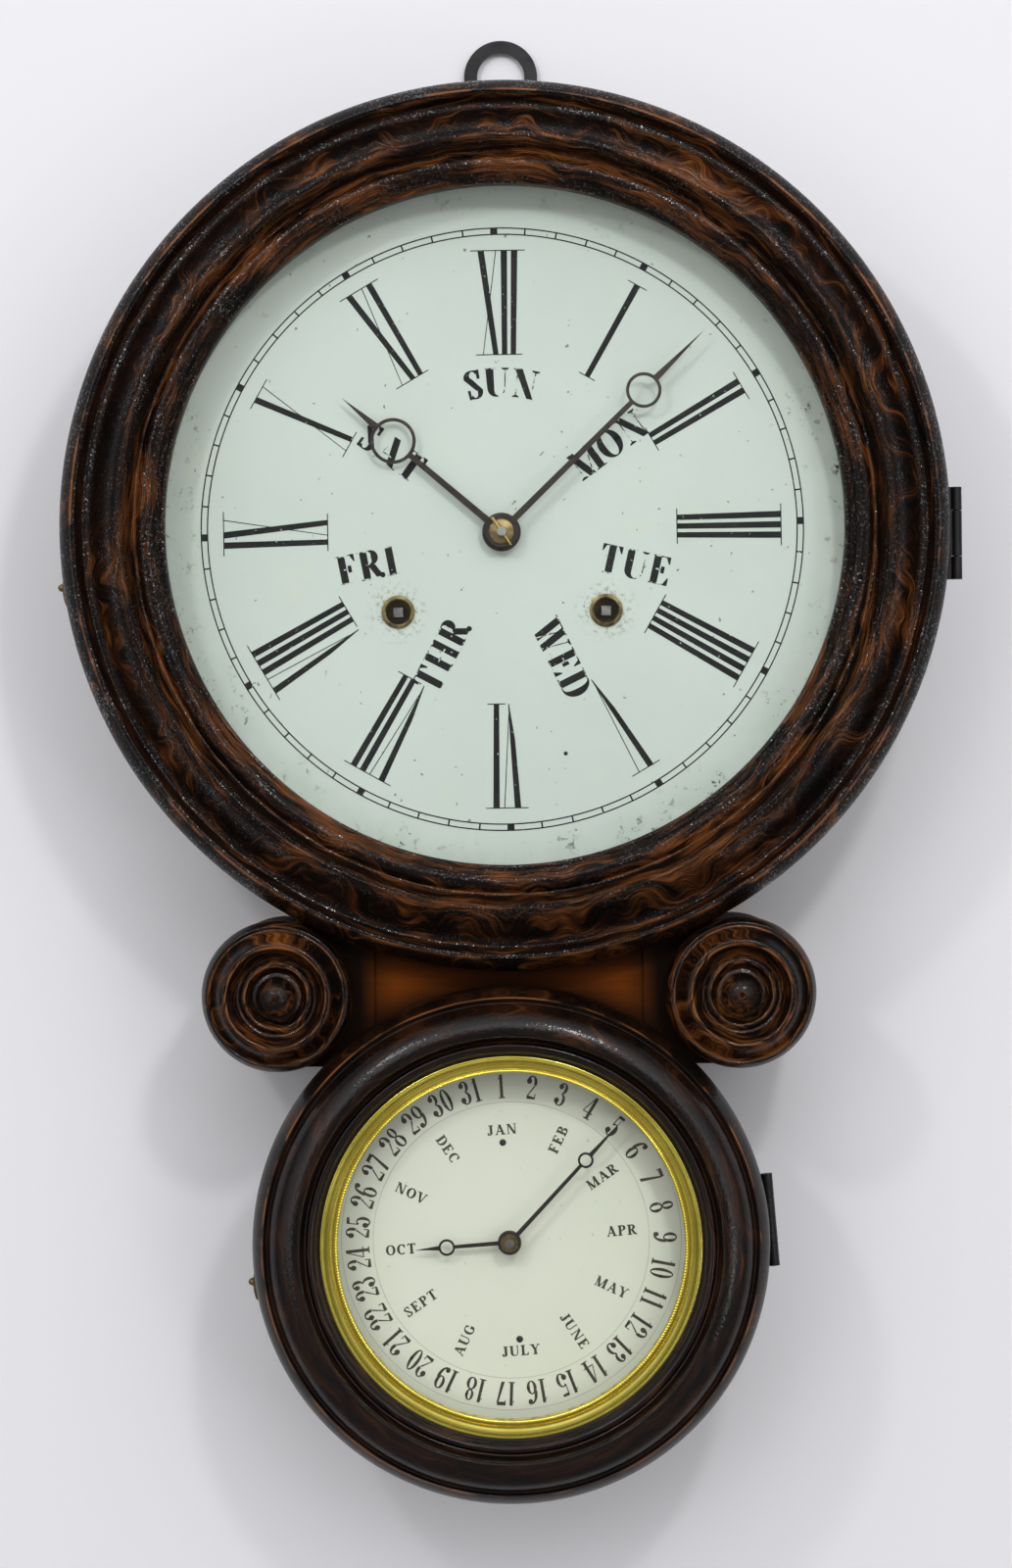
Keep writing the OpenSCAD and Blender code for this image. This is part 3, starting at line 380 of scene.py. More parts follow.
def back_wood():
    """Dark stain in front and on the edges, bare aged wood on the face that lies against the wall."""
    paint = Paint("back_wood")
    grain = wood_grain(paint, "z", 1.2)
    stained = paint.ramp(grain, (0.3, DARK_STAIN), (0.7, LIGHT_STAIN))
    bare = paint.ramp(grain, (0.3, (0.15, 0.08, 0.038)), (0.7, (0.30, 0.18, 0.09)))
    against_wall = paint.fade(paint.outward(), 1, (0.1, 1.0), (0.5, 0.0))
    paint.set(Base_Color=paint.mix(against_wall, stained, bare), Roughness=0.6, Specular_IOR_Level=0.15,
              Normal=paint.bump(grain, GRAIN_DEPTH))
    return paint.material


def waist_wood():
    """Red-brown stain, darkened towards the rings and roundels round its open field by painted shade of those
    pieces, and partly by dirt.
    """
    paint = Paint("waist_wood")
    grain = wood_grain(paint, "x", 1.6)
    tone = paint.ramp(grain, (0.3, (0.085, 0.018, 0.0012)), (0.7, (0.19, 0.046, 0.003)))
    above = paint.fade(paint.around(UPPER)[0], 1000, (195, 0.0), (207, 1.0))
    below = paint.fade(paint.around(LOWER)[0], 1000, (112, 0.0), (124, 1.0))
    aside = paint.math("ABSOLUTE", paint.parts(paint.place)[0])
    aside = paint.fade(aside, 1000, (50, 1.0), (66, 0.0))
    free_of_shade_and_dirt = paint.times(paint.times(above, below), aside)
    # Outside the open field the board is near-black: painted shade of the rings and roundels, partly dirt
    paint.set(Base_Color=paint.mix(free_of_shade_and_dirt, (0.007, 0.003, 0.0012), tone), Roughness=0.5,
              Specular_IOR_Level=0.04, Normal=paint.bump(grain, GRAIN_DEPTH))
    return paint.material


def metal(name, tone, dull, rough, span, patches, specks=None, metallic=1.0):
    """Metal with cloudy tarnish, rougher where it is dull, and a fine uneven surface. Its roughness lies within
    span of rough, and the clouds are smaller the higher patches is."""
    paint = Paint(name)
    cloud = paint.noise(patches, 5.0, 0.6)
    fine = paint.noise(1400, 3.0, 0.6)
    colour = paint.ramp(cloud, (0.35, dull), (0.65, tone))
    if specks:
        colour = paint.spots(colour, specks, paint.noise(520, 3.0, 0.7), 0.6, 0.7)
    roughness = paint.ramp(cloud, (0.3, rough + span), (0.7, rough - span))
    paint.set(Base_Color=colour, Metallic=metallic, Roughness=paint.parts(roughness)[0],
              Normal=paint.bump(fine, 0.03 * MM))
    return paint.material


def flaked_rim(paint, base, radius, up):
    """Grime and dark flakes near the rim of the dial, fewer at its top."""
    rim = paint.fade(radius, 200, (133, 0.0), (147, 1.0))
    where = paint.times(rim, paint.ramp(up, (0.3, 1.0), (0.75, 0.35)))
    tide = paint.noise(38, 6.0, 0.72)
    flakes = paint.ramp(paint.noise(300, 3.0, 0.7), (0.60, 0.0), (0.63, 1.0))
    flaked = paint.times(paint.times(flakes, paint.ramp(tide, (0.50, 0.0), (0.62, 1.0))), where)
    grime = paint.times(where, paint.ramp(tide, (0.46, 0.0), (0.56, 0.2)))
    base = paint.mix(grime, base, (0.45, 0.52, 0.38))
    return paint.mix(flaked, base, (0.05, 0.055, 0.045))


def winding_rust(paint, base, side):
    """Rust and a dark halo round a winding hole."""
    near = paint.around((ARBOR.x + side * WINDING_OUT, 0, WINDING_Z))[0]
    close = paint.fade(near, 25, (6.5, 1.0), (8.5, 0.55), (15.5, 0.0))
    rust = paint.ramp(paint.noise(430, 4.0, 0.75), (0.535, 0.0), (0.60, 1.0))
    base = paint.mix(paint.times(close, rust), base, (0.14, 0.12, 0.075))
    halo = paint.fade(near, 25, (6, 0.75), (9, 0.0))
    return paint.mix(halo, base, (0.45, 0.45, 0.31))


def dial_paper():
    """Pale green-grey dial with yellowed stains, dark flaking near its rim and rust at the winding holes."""
    paint = Paint("dial_paper")
    radius, _, up = paint.around(UPPER)
    wide = paint.noise(9, 4.0, 0.55)
    base = paint.ramp(wide, (0.3, (0.61, 0.655, 0.605)), (0.6, (0.65, 0.695, 0.645)),
                      (0.75, (0.68, 0.715, 0.675)))
    base = paint.spots(base, (0.72, 0.68, 0.52), paint.noise(26, 5.0, 0.6), 0.62, 0.78, 0.5)
    base = paint.spots(base, (0.16, 0.15, 0.11), paint.noise(330, 2.0, 0.5), 0.735, 0.76, 0.8)
    base = flaked_rim(paint, base, radius, up)
    for side in (-1, 1):
        base = winding_rust(paint, base, side)
    paint.set(Base_Color=base, Roughness=0.62, Specular_IOR_Level=0.3, Normal=paint.bump(wide, 0.05 * MM))
    return paint.material


def calendar_paper():
    """Cream card, a little darker and yellower towards its rim."""
    paint = Paint("calendar_paper")
    wide = paint.noise(14, 4.0, 0.55)
    base = paint.ramp(wide, (0.3, (0.75, 0.745, 0.63)), (0.7, (0.80, 0.79, 0.69)))
    base = paint.spots(base, (0.42, 0.37, 0.24), paint.noise(420, 2.0, 0.5), 0.72, 0.77, 0.5)
    rim = paint.fade(paint.around(LOWER)[0], 100, (70, 0.0), (77, 0.35))
    base = paint.mix(rim, base, (0.62, 0.62, 0.47))
    paint.set(Base_Color=base, Roughness=0.5, Specular_IOR_Level=0.35, Normal=paint.bump(wide, 0.04 * MM))
    return paint.material


def ink(name, tone, worn, paper, wear):
    """Printed ink with small losses that show the paper. The losses are fewer as wear goes up."""
    paint = Paint(name)
    shade = paint.ramp(paint.noise(55, 3.0, 0.6), (0.35, tone), (0.7, worn))
    shade = paint.spots(shade, paper, paint.noise(620, 3.0, 0.6), wear, wear + 0.03)
    paint.set(Base_Color=shade, Roughness=0.6, Specular_IOR_Level=0.1)
    return paint.material


def collet_brass():
    """Tarnished brass in front of the dial, and black behind it: painted shade inside the winding hole."""
    paint = Paint("collet_brass")
    brass = paint.ramp(paint.noise(300, 4.0, 0.6), (0.35, (0.10, 0.075, 0.035)), (0.65, (0.30, 0.23, 0.11)))
    # Behind the dial the collet is painted black and non-metallic, as painted shade of the winding hole
    clear_of_hole_shade = paint.fade(paint.less(paint.outward(), DIAL), 1, (0, 0.0), (0.5, 1.0))
    paint.set(Base_Color=paint.mix(clear_of_hole_shade, (0.004, 0.0035, 0.003), brass), Roughness=0.4,
              Metallic=paint.parts(clear_of_hole_shade)[0])
    return paint.material


def window_glass():
    """Old window glass that lets the lamps through."""
    paint = Paint("window_glass")
    paint.set(Base_Color=(0.965, 0.985, 0.975), Roughness=0.02, IOR=1.45, Transmission_Weight=1.0,
              Normal=paint.bump(paint.noise(16, 2.0, 0.5), 0.1 * MM))
    rays = paint.node("LightPath").outputs
    lamp_light = paint.math("MAXIMUM", rays["Is Shadow Ray"], rays["Is Diffuse Ray"])
    paint.see_through(lamp_light, (0.96, 0.98, 0.97))
    return paint.material


def putty():
    paint = Paint("putty")
    lumps = paint.noise(120, 4.0, 0.6)
    tone = paint.ramp(lumps, (0.3, (0.30, 0.24, 0.16)), (0.7, (0.5, 0.43, 0.31)))
    paint.set(Base_Color=tone, Roughness=0.8, Normal=paint.bump(lumps, 0.3 * MM))
    return paint.material


def roundel_wood(side, seed, bare):
    return turned_wood(side + "_roundel_wood", ROUNDELS[side], spread=1.1, grain=240.0, seed=seed, bare=bare,
                       sheen=0.18, crazing=0.16 * MM, worn=[(29.9, 0.7), (22.2, 0.7), (14.0, 0.6)])


MATERIALS = {
    "upper_ring": turned_wood("upper_ring_wood", UPPER, spread=4.6, grain=105.0, seed=3.0, bare=0.35,
                              sheen=0.10, crazing=0.4 * MM, worn=[(191.2, 0.8), (162.3, 0.6)], rim=174),
    "lower_ring": turned_wood("lower_ring_wood", LOWER, spread=2.2, grain=105.0, seed=11.0, bare=0.06,
                              sheen=0.30, crazing=0.14 * MM, worn=[(109.8, 0.5)]),
    "left_roundel": roundel_wood("left", 21.0, 0.30),
    "right_roundel": roundel_wood("right", 31.0, 0.34),
    "case_wood": flat_wood("case_wood", DARK_STAIN, LIGHT_STAIN, "z", 1.3, 0.4, 0.15),
    "red_wood": waist_wood(),
    "back_wood": back_wood(),
    "plain_wood": flat_wood("plain_wood", (0.25, 0.14, 0.07), (0.42, 0.27, 0.15), "x", 1.2, 0.7, 0.5),
    "black_iron": metal("black_iron", (0.018, 0.018, 0.019), (0.008, 0.008, 0.009), rough=0.42, span=0.1,
                        patches=90, specks=(0.06, 0.035, 0.02), metallic=0.6),
    "steel": metal("steel", (0.55, 0.54, 0.52), (0.34, 0.33, 0.31), rough=0.32, span=0.1, patches=60),
    "browned_steel": metal("browned_steel", (0.045, 0.033, 0.027), (0.02, 0.015, 0.013), rough=0.42,
                           span=0.12, patches=120, specks=(0.10, 0.045, 0.02), metallic=0.7),
    "brass": metal("brass", (0.62, 0.43, 0.15), (0.30, 0.19, 0.06), rough=0.34, span=0.12, patches=50,
                   specks=(0.16, 0.10, 0.04)),
    "collet_brass": collet_brass(),
    "steel_dark": metal("steel_dark", (0.30, 0.29, 0.28), (0.12, 0.115, 0.11), rough=0.42, span=0.1,
                        patches=160),
    "dull_brass": metal("dull_brass", (0.26, 0.19, 0.085), (0.09, 0.065, 0.03), rough=0.42, span=0.12,
                        patches=260, specks=(0.05, 0.035, 0.02)),
    "bezel_brass": metal("bezel_brass", (0.88, 0.75, 0.16), (0.62, 0.51, 0.085), rough=0.2, span=0.08,
                         patches=30),
    "dial_paper": dial_paper(),
    "calendar_paper": calendar_paper(),
    "ink": ink("dial_ink", (0.008, 0.009, 0.009), (0.018, 0.017, 0.016), (0.45, 0.52, 0.46), 0.69),
    "worn_ink": ink("worn_ink", (0.02, 0.019, 0.018), (0.06, 0.055, 0.05), (0.62, 0.68, 0.63), 0.49),
    "calendar_ink": ink("calendar_ink", (0.05, 0.042, 0.032), (0.10, 0.085, 0.062), (0.6, 0.58, 0.48), 0.70),
    "faint_ink": ink("faint_ink", (0.36, 0.35, 0.27), (0.50, 0.49, 0.40), (0.7, 0.69, 0.6), 0.66),
    "glass": window_glass(),
    "putty": putty(),
}

# Which material each CAD node has. The others are brass.
NODE_FINISH = {
    "case_wood": ["upper_drum", "lower_drum"],
    "back_wood": ["backboard"],
    "red_wood": ["waist_board", "waist_blocks"],
    "plain_wood": ["upper_dial_board", "calendar_board"],
    "black_iron": ["hanger_plate", "case_hinge_leaves", "upper_door_leaf", "lower_door_leaf", "hinge_pins"],
    "steel": ["hanger_screws", "mainsprings", "minute_arbor", "verge", "pendulum_rod", "hammer", "gong"],
    "steel_dark": ["date_arbor", "time_winding_arbor", "strike_winding_arbor"],
    "collet_brass": ["winding_collets"],
    "browned_steel": ["hour_hand", "minute_hand", "date_hand", "month_hand", "calendar_pins"],
    "dull_brass": ["hand_washer", "calendar_nut", "upper_latch", "lower_latch", "latch_pins"],
    "glass": ["upper_glass", "lower_glass"],
    "putty": ["upper_putty", "lower_putty"],
    "dial_paper": ["upper_dial"],
    "calendar_paper": ["calendar_dial"],
}
finish_of = {node: finish for finish, nodes in NODE_FINISH.items() for node in nodes}
for node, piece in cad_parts.items():
    piece.data.materials.clear()
    piece.data.materials.append(MATERIALS[finish_of.get(node, "brass")])

# Door rings. Their outlines give millimetres inward from the outer edge and out of the face against the case.
UPPER_R = half_width("upper_door_ring") / MM
LOWER_R = half_width("lower_door_ring") / MM
RING_H = (front("upper_door_ring") - DOOR) / MM
UPPER_OPEN = 150.0
LOWER_OPEN = 84.3
GLASS_SEAT = (front("upper_glass") - DOOR) / MM
REBATE = 6.0


def upper_ring_outline():
    opening = UPPER_R - UPPER_OPEN
    side = swell((3, 0), (5.8, 20.6), 4.4, 24)
    lip = swell((5.9, 21.0), (6.6, 21.2), 0.18, 4) + ogee((6.8, 20.9), (11.6, 17.5), 16)
    slope = ogee((12, 17.5), (28, RING_H), 36) + ogee((28.2, RING_H), (34.5, RING_H - 8.8), 20)
    bead = swell((34.7, RING_H - 9.5), (41.3, RING_H - 7.5), 1.25, 16)
    hollow = ogee((41.7, RING_H - 7.9), (46.6, RING_H - 12.9), 10)
    edge = [(opening, RING_H - 13.6), (opening, GLASS_SEAT)]
    seat = [(opening - REBATE, GLASS_SEAT), (opening - REBATE, 0)]
    return side + lip + slope + bead + hollow + edge + seat


def lower_ring_outline():
    opening = LOWER_R - LOWER_OPEN
    side = swell((3, 0), (4.6, 20.9), 3.8, 24) + ogee((4.9, 21.2), (7, 20), 8)
    face = swell((7.2, 20.1), (20.2, RING_H - 2.5), 3, 32) + ogee((20.6, RING_H - 3), (24, RING_H - 9), 14)
    bead = swell((24.2, RING_H - 9.6), (27.2, RING_H - 8.5), 0.8, 12)
    hollow = ogee((27.5, RING_H - 8.9), (29.9, RING_H - 11.9), 8)
    return side + face + bead + hollow + [(opening, RING_H - 12.2), (opening, 0)]


def door_ring(which, centre, outline, radius, body, steps):
    places = [((radius - inward) * MM, DOOR + height * MM) for inward, height in outline]
    return lathe(which + "_turned", centre, places, MATERIALS[which], body, steps)


upper_ring = door_ring("upper_ring", UPPER, upper_ring_outline(), UPPER_R, "upper_door", 360)
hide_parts("upper_door_ring")
lower_ring = door_ring("lower_ring", LOWER, lower_ring_outline(), LOWER_R, "lower_door", 300)
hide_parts("lower_door_ring")

# Roundels. Their outline is in shares of ROUNDEL_R and ROUNDEL_H.
ROUNDEL_R = half_width("left_roundel") / 0.9635
ROUNDEL_H = front("left_roundel") - CASE


def roundel_outline():
    side = swell((0.93, 0), (0.9, 0.585), -0.045, 20) + swell((0.895, 0.60), (0.865, 0.60), -0.006, 4)
    slope = ogee((0.855, 0.565), (0.66, 0.855), 18) + ogee((0.64, 0.86), (0.48, 0.63), 16)
    bead = swell((0.465, 0.615), (0.355, 0.615), -0.045, 10)
    hollow = [(0.345, 0.56), (0.30, 0.53), (0.262, 0.545)]
    button = arc(0, 0.7, 0.255, 0.3, range(0, 91, 6))
    return [(0, 0)] + side + slope + bead + hollow + button


for side, centre in ROUNDELS.items():
    outline = [(r * ROUNDEL_R, CASE + h * ROUNDEL_H) for r, h in roundel_outline()]
    wood = MATERIALS[side + "_roundel"]
    roundel = lathe(side + "_roundel_turned", centre, outline, wood, "case", 192)
    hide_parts(side + "_roundel")

# Brass bezel with its milled bead, in millimetres from the centre and out of the wall
BEZEL_TOP = front("lower_bezel") / MM
BEZEL_HOLE = 76.6
BEZEL_EDGE = 0.6
SKIRT = 1.6
SKIRT_DROP = 4
BEAD_R = 0.72
BEAD_AT = (BEZEL_HOLE + 0.75, BEZEL_TOP - 4.3)
BEAD_STEP = 45
BEAD_TWISTS = 380
FLUTE = 0.1 * MM


def bezel_outline():
    glass_front = front("lower_glass") / MM
    skirt_end = rear("lower_glass") / MM - SKIRT_DROP
    skirt = [(BEZEL_HOLE, glass_front), (LOWER_OPEN - SKIRT, glass_front), (LOWER_OPEN - SKIRT, skirt_end),
             (LOWER_OPEN, skirt_end), (LOWER_OPEN, BEZEL_TOP - BEZEL_EDGE)]
    edge = arc(LOWER_OPEN - BEZEL_EDGE, BEZEL_TOP - BEZEL_EDGE, BEZEL_EDGE, BEZEL_EDGE, range(15, 106, 15))
    slope = swell((LOWER_OPEN - 0.9, BEZEL_TOP - 0.02), (BEZEL_HOLE + 3.7, BEZEL_TOP - 3.3), 0.25, 10)
    steps = [(3.5, 3.5), (2.9, 3.6), (2.5, 4.8), (1.3, 4.9), (0, 5.1)]
    return skirt + edge + slope + [(BEZEL_HOLE + out, BEZEL_TOP - down) for out, down in steps]


def milled(angle, k):
    """Twisted flutes round the bead."""
    turn = math.radians(BEAD_STEP * k)
    depth = FLUTE * math.cos(BEAD_TWISTS * angle + turn)
    return depth * math.cos(turn), depth * math.sin(turn)


brass = MATERIALS["bezel_brass"]
bezel = lathe("bezel_spun", LOWER, in_metres(bezel_outline()), brass, "lower_door", 300)
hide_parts("lower_bezel")
bead = in_metres(arc(*BEAD_AT, BEAD_R, BEAD_R, range(0, 360, BEAD_STEP)))
lathe("bezel_bead", LOWER, bead, brass, "lower_door", BEAD_TWISTS * 6, milled, 80)

# Rounded edges on flat metal and wood pieces, by width in millimetres
BEVELS = {
    0.8: ["backboard"],
    0.25: ["hanger_plate"],
    0.2: ["case_hinge_leaves", "upper_door_leaf", "lower_door_leaf"],
    0.18: ["hour_hand", "minute_hand"],
    0.15: ["date_hand", "month_hand", "upper_latch", "lower_latch", "calendar_nut"],
}
SHARP_EDGE = 50


def round_edges(piece, width):
    rounding = piece.modifiers.new("rounding", "BEVEL")
    rounding.width = width
    rounding.segments = 2
    rounding.limit_method = "ANGLE"
    rounding.angle_limit = math.radians(SHARP_EDGE)


for width, nodes in BEVELS.items():
    for node in nodes:
        round_edges(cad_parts[node], width * MM)


# Strokes of the lettering, as pairs of points on their two sides
def bar(a, b, wide, wide_end=None):
    """A straight stroke. Its ends are level, or upright if it runs mostly sideways."""
    wide_end = wide if wide_end is None else wide_end
    level = abs(b[1] - a[1]) > 0.5 * abs(b[0] - a[0])
    across = (0.5, 0.0) if level else (0.0, 0.5)
    return [((p[0] - across[0] * w, p[1] - across[1] * w), (p[0] + across[0] * w, p[1] + across[1] * w))
            for p, w in ((a, wide), (b, wide_end))]


def bow(cx, cy, rx, ry, start, end, thin, thick, steps):
    """A stroke along an ellipse, thick where it runs upright."""
    pairs = []
    for i in range(steps + 1):
        angle = math.radians(start + (end - start) * i / steps)
        c, s = math.cos(angle), math.sin(angle)
        half = (thin + (thick - thin) * abs(c) ** 1.7) / 2
        size = math.hypot(c * ry, s * rx)
        side_x, side_y = c * ry / size * half, s * rx / size * half
        x, y = cx + rx * c, cy + ry * s
        pairs.append(((x - side_x, y - side_y), (x + side_x, y + side_y)))
    return pairs


def drop_serif(x, y, size, way):
    """A small wedge that hangs from, or stands on, the end of a hairline."""
    end, tip = x + 0.02, y + way * 1.5 * size
    return [((x - size, y), (end, y)), ((x - 0.15 * size, tip), (end, tip))]


def ball(x, y, r):
    return bow(x, y, r / 2, r / 2, 0, 360, r * 0.98, r * 0.98, 10)


def blob(x, y, half, way):
    """A half-round serif that hangs from, or stands on, a letter's edge."""
    return [((x - half * c, y), (x - half * c, y + way * 0.55 * half * math.sqrt(max(1 - c * c, 0.02))))
            for c in (1, 0.75, 0.4, 0, -0.4, -0.75, -1)]


STEM = 0.2


def letter(ch, t, h):
    """The width of a letter one unit tall, and its strokes. t is a thick stroke and h a hairline."""
    e = h / 2
    s = 0.5 * t + 0.09
    top, low = 1 - e, e

    def line(x1, y1, x2, y2, wide=h, wide_end=None):
        return bar((x1, y1), (x2, y2), wide, wide_end)

    def arm(x, y):
        return line(STEM, y, x, y)

    def serifs(*feet):
        return [line(x - half, y, x + half, y) for x, y, half in feet]

    def curve(x, y, across, up, start, end, heavy=t, steps=14):
        return bow(x, y, across, up - e, start, end, h, heavy, steps)

    def bowl(x, y, across, up, steps=14):
        return curve(x, y, across, up, 90, -90, t, steps)

    def loop(x, y, across, up, steps, heavy=t):
        return curve(x, y, across, up, 0, 360, heavy, steps)

    stem = [line(STEM, 0, STEM, 1, t)] + serifs((STEM, top, s), (STEM, low, s))
    shapes = {
        "A": (0.96, [line(0.14, 0, 0.47, 1), line(0.8, 0, 0.45, 1, t), line(0.25, 0.33, 0.66, 0.33)]
              + serifs((0.14, low, 0.12), (0.8, low, s))),
        "B": (0.8, stem + [arm(0.4, top), bowl(0.4, 0.76, 0.2, 0.24), arm(0.42, 0.52),
                           bowl(0.42, 0.26, 0.24, 0.26), arm(0.42, low)]),
        "C": (0.82, [curve(0.46, 0.5, 0.34, 0.5, 48, 312, t, 20), line(0.72, 0.66, 0.72, 0.97, 0.6 * t, h)]),
        "D": (0.88, stem + [arm(0.42, top), bowl(0.42, 0.5, 0.32, 0.5, 18), arm(0.42, low)]),
        "E": (0.8, stem + [arm(0.68, top), arm(0.46, 0.52), arm(0.72, low), drop_serif(0.68, 1, 0.17, -1),
                           drop_serif(0.72, 0, 0.18, 1), line(0.46, 0.4, 0.46, 0.64, 0.5 * t)]),
        "F": (0.76, stem + [arm(0.68, top), arm(0.46, 0.5), drop_serif(0.68, 1, 0.17, -1),
                            line(0.46, 0.38, 0.46, 0.62, 0.5 * t)]),
        "G": (0.9, [curve(0.46, 0.5, 0.34, 0.5, 48, 325, t, 20), line(0.72, 0.66, 0.72, 0.97, 0.6 * t, h),
                    line(0.74, 0.1, 0.74, 0.42, t), line(0.58, 0.42, 0.88, 0.42)]),
        "H": (1.0, stem + [line(0.78, 0, 0.78, 1, t), arm(0.78, 0.5)] + serifs((0.78, top, s), (0.78, low, s))),
        "I": (0.42, stem),
        "J": (0.62, [line(0.4, 0.2, 0.4, 1, t), curve(0.25, 0.2, 0.15, 0.2, 0, -150), ball(0.12, 0.18, 0.1)]
              + serifs((0.4, top, s))),
        "L": (0.76, stem + [arm(0.7, low), drop_serif(0.7, 0, 0.19, 1)]),
        "M": (1.16, [line(0.16, 0, 0.16, 1), line(0.96, 0, 0.96, 1, t), line(0.18, 1, 0.52, 0, t),
                     line(0.54, 0, 0.92, 1), blob(0.16, 0, 0.15, 1)]
              + serifs((0.96, low, s), (0.14, top, 0.12), (0.98, top, 0.12))),
        "N": (1.0, [line(0.17, 0, 0.17, 1), line(0.82, 0, 0.82, 1), line(0.2, 1, 0.78, 0, t),
                    blob(0.17, 0, 0.15, 1), blob(0.82, 1, 0.15, -1)] + serifs((0.14, top, 0.12))),
        "O": (0.92, [loop(0.46, 0.5, 0.34, 0.5, 28)]),
        "P": (0.76, stem + [arm(0.4, top), bowl(0.4, 0.74, 0.22, 0.26), arm(0.4, 0.48)]),
        "R": (0.9, stem + [arm(0.4, top), bowl(0.4, 0.75, 0.21, 0.25), arm(0.4, 0.5),
                           line(0.44, 0.5, 0.7, 0.05, t), ball(0.8, 0.08, 0.1)]),
        "S": (0.72, [curve(0.38, 0.75, 0.22, 0.25, 40, 190, 0.8 * t), line(0.17, 0.74, 0.58, 0.28, t),
                     curve(0.37, 0.25, 0.22, 0.25, 10, -140, 0.8 * t), line(0.58, 0.68, 0.58, 1, 0.4 * t),
                     line(0.15, 0, 0.15, 0.33, 0.4 * t)]),
        "T": (0.86, [line(0.43, 0, 0.43, 1, t), line(0.06, top, 0.8, top), drop_serif(0.8, 1, 0.17, -1),
                     [((0.04, 1), (0.21, 1)), ((0.04, 0.75), (0.08, 0.75))]] + serifs((0.43, low, s))),
        "U": (0.94, [line(0.2, 0.3, 0.2, 1, t), line(0.76, 0.3, 0.76, 1), curve(0.48, 0.3, 0.28, 0.3, 180, 270),
                     curve(0.48, 0.3, 0.28, 0.3, 270, 360, h), blob(0.76, 1, 0.14, -1)]
              + serifs((0.2, top, s))),
        "V": (0.9, [line(0.16, 1, 0.46, 0, t, 0.7 * t), line(0.8, 1, 0.48, 0)]
              + serifs((0.16, top, s), (0.8, top, 0.13))),
        "W": (1.24, [line(0.16, 1, 0.4, 0, t), line(0.62, 1, 0.4, 0), line(0.62, 1, 0.86, 0, t),
                     line(1.1, 1, 0.88, 0), blob(1.1, 1, 0.14, -1)] + serifs((0.16, top, s), (0.6, top, s))),
        "Y": (0.9, [line(0.16, 1, 0.46, 0.46, t), line(0.78, 1, 0.48, 0.46), line(0.46, 0, 0.46, 0.5, t)]
              + serifs((0.16, top, s), (0.78, top, 0.13), (0.46, low, s))),
        "0": (0.56, [loop(0.28, 0.5, 0.17, 0.5, 24)]),
        "1": (0.46, [line(0.25, 0, 0.25, 1, t), line(0.1, 0.8, 0.24, 0.93)] + serifs((0.25, low, 0.16))),
        "2": (0.56, [curve(0.27, 0.72, 0.18, 0.28, 160, -28, t, 16), line(0.42, 0.58, 0.09, 0.1, 0.55 * t, h),
                     line(0.08, 0.08, 0.47, 0.05, 0.16, 0.08), line(0.475, 0.02, 0.48, 0.24),
                     ball(0.12, 0.76, 0.13)]),
        "3": (0.56, [curve(0.25, 0.76, 0.15, 0.24, 150, -85, t, 16),
                     curve(0.25, 0.27, 0.18, 0.27, 88, -150, t, 18),
                     ball(0.13, 0.82, 0.12), ball(0.1, 0.2, 0.13)]),
        "4": (0.6, [line(0.38, 0, 0.38, 1, t), line(0.05, 0.3, 0.34, 1), line(0.03, 0.28, 0.56, 0.28)]
              + serifs((0.38, low, 0.17))),
        "5": (0.56, [line(0.13, 0.5, 0.13, 0.98), line(0.12, 0.93, 0.44, 0.95, 0.14, 0.1),
                     curve(0.26, 0.3, 0.18, 0.3, 135, -150, t, 18), ball(0.1, 0.2, 0.13)]),
        "6": (0.58, [loop(0.29, 0.29, 0.17, 0.29, 22), curve(0.44, 0.5, 0.32, 0.5, 100, 185),
                     ball(0.45, 0.88, 0.12)]),
        "7": (0.54, [line(0.06, 0.92, 0.48, 0.92, 0.15), line(0.46, 0.88, 0.2, 0, 0.6 * t, 1.1 * t),
                     line(0.07, 0.78, 0.07, 1)]),
        "8": (0.56, [loop(0.28, 0.76, 0.14, 0.24, 20, 0.85 * t), loop(0.28, 0.27, 0.18, 0.27, 22)]),
        "9": (0.58, [loop(0.29, 0.71, 0.17, 0.29, 22), curve(0.14, 0.5, 0.32, 0.5, 280, 365),
                     ball(0.13, 0.12, 0.12)]),
    }
    return shapes[ch]


# Lettering stands INK proud of its dial, and each stroke of a letter LAYER more than the one before
INK = 0.05 * MM
LAYER = 0.0015 * MM
HAIRLINE = 1.4


def write(bm, centre, depth, text, place, height, wide, thick, thin, gap, faint=None):
    """Writes a word. place(u, v) takes points in metres from the word's middle, u along it and v up. height is in
    metres and the other sizes are shares of it. Hairlines go to the mesh faint, where one is given."""
    letters = [letter(ch, thick, thin) for ch in text]
    start = -(sum(size * wide for size, _ in letters) + gap * (len(text) - 1)) / 2

    def on_dial(u, v, out):
        return facing_us(centre, *place(u, v), out)
    for size, strokes in letters:
        for k, pairs in enumerate(strokes):
            hair = max(math.dist(a, b) for a, b in pairs) < HAIRLINE * thin
            moved = [[((start + x * wide) * height, (y - 0.5) * height) for x, y in pair] for pair in pairs]
            add_strip(faint if faint and hair else bm, on_dial, moved, depth, depth + INK + k * LAYER)
        start += size * wide + gap


def turned_place(angle, distance, tilt):
    """Places writing with its middle at a clock angle and distance, and its top turned to the clock angle tilt."""
    a, b = math.radians(angle), math.radians(tilt)
    middle_u, middle_v = distance * math.sin(a), distance * math.cos(a)

    def place(u, v):
        return middle_u + u * math.cos(b) + v * math.sin(b), middle_v - u * math.sin(b) + v * math.cos(b)
    return place


def bent_place(angle, distance):
    """Places writing along a circle, with its top outward."""
    def place(u, v):
        turn = math.radians(angle) + u / distance
        return (distance + v) * math.sin(turn), (distance + v) * math.cos(turn)
    return place


CIRCLE_STEPS = 360


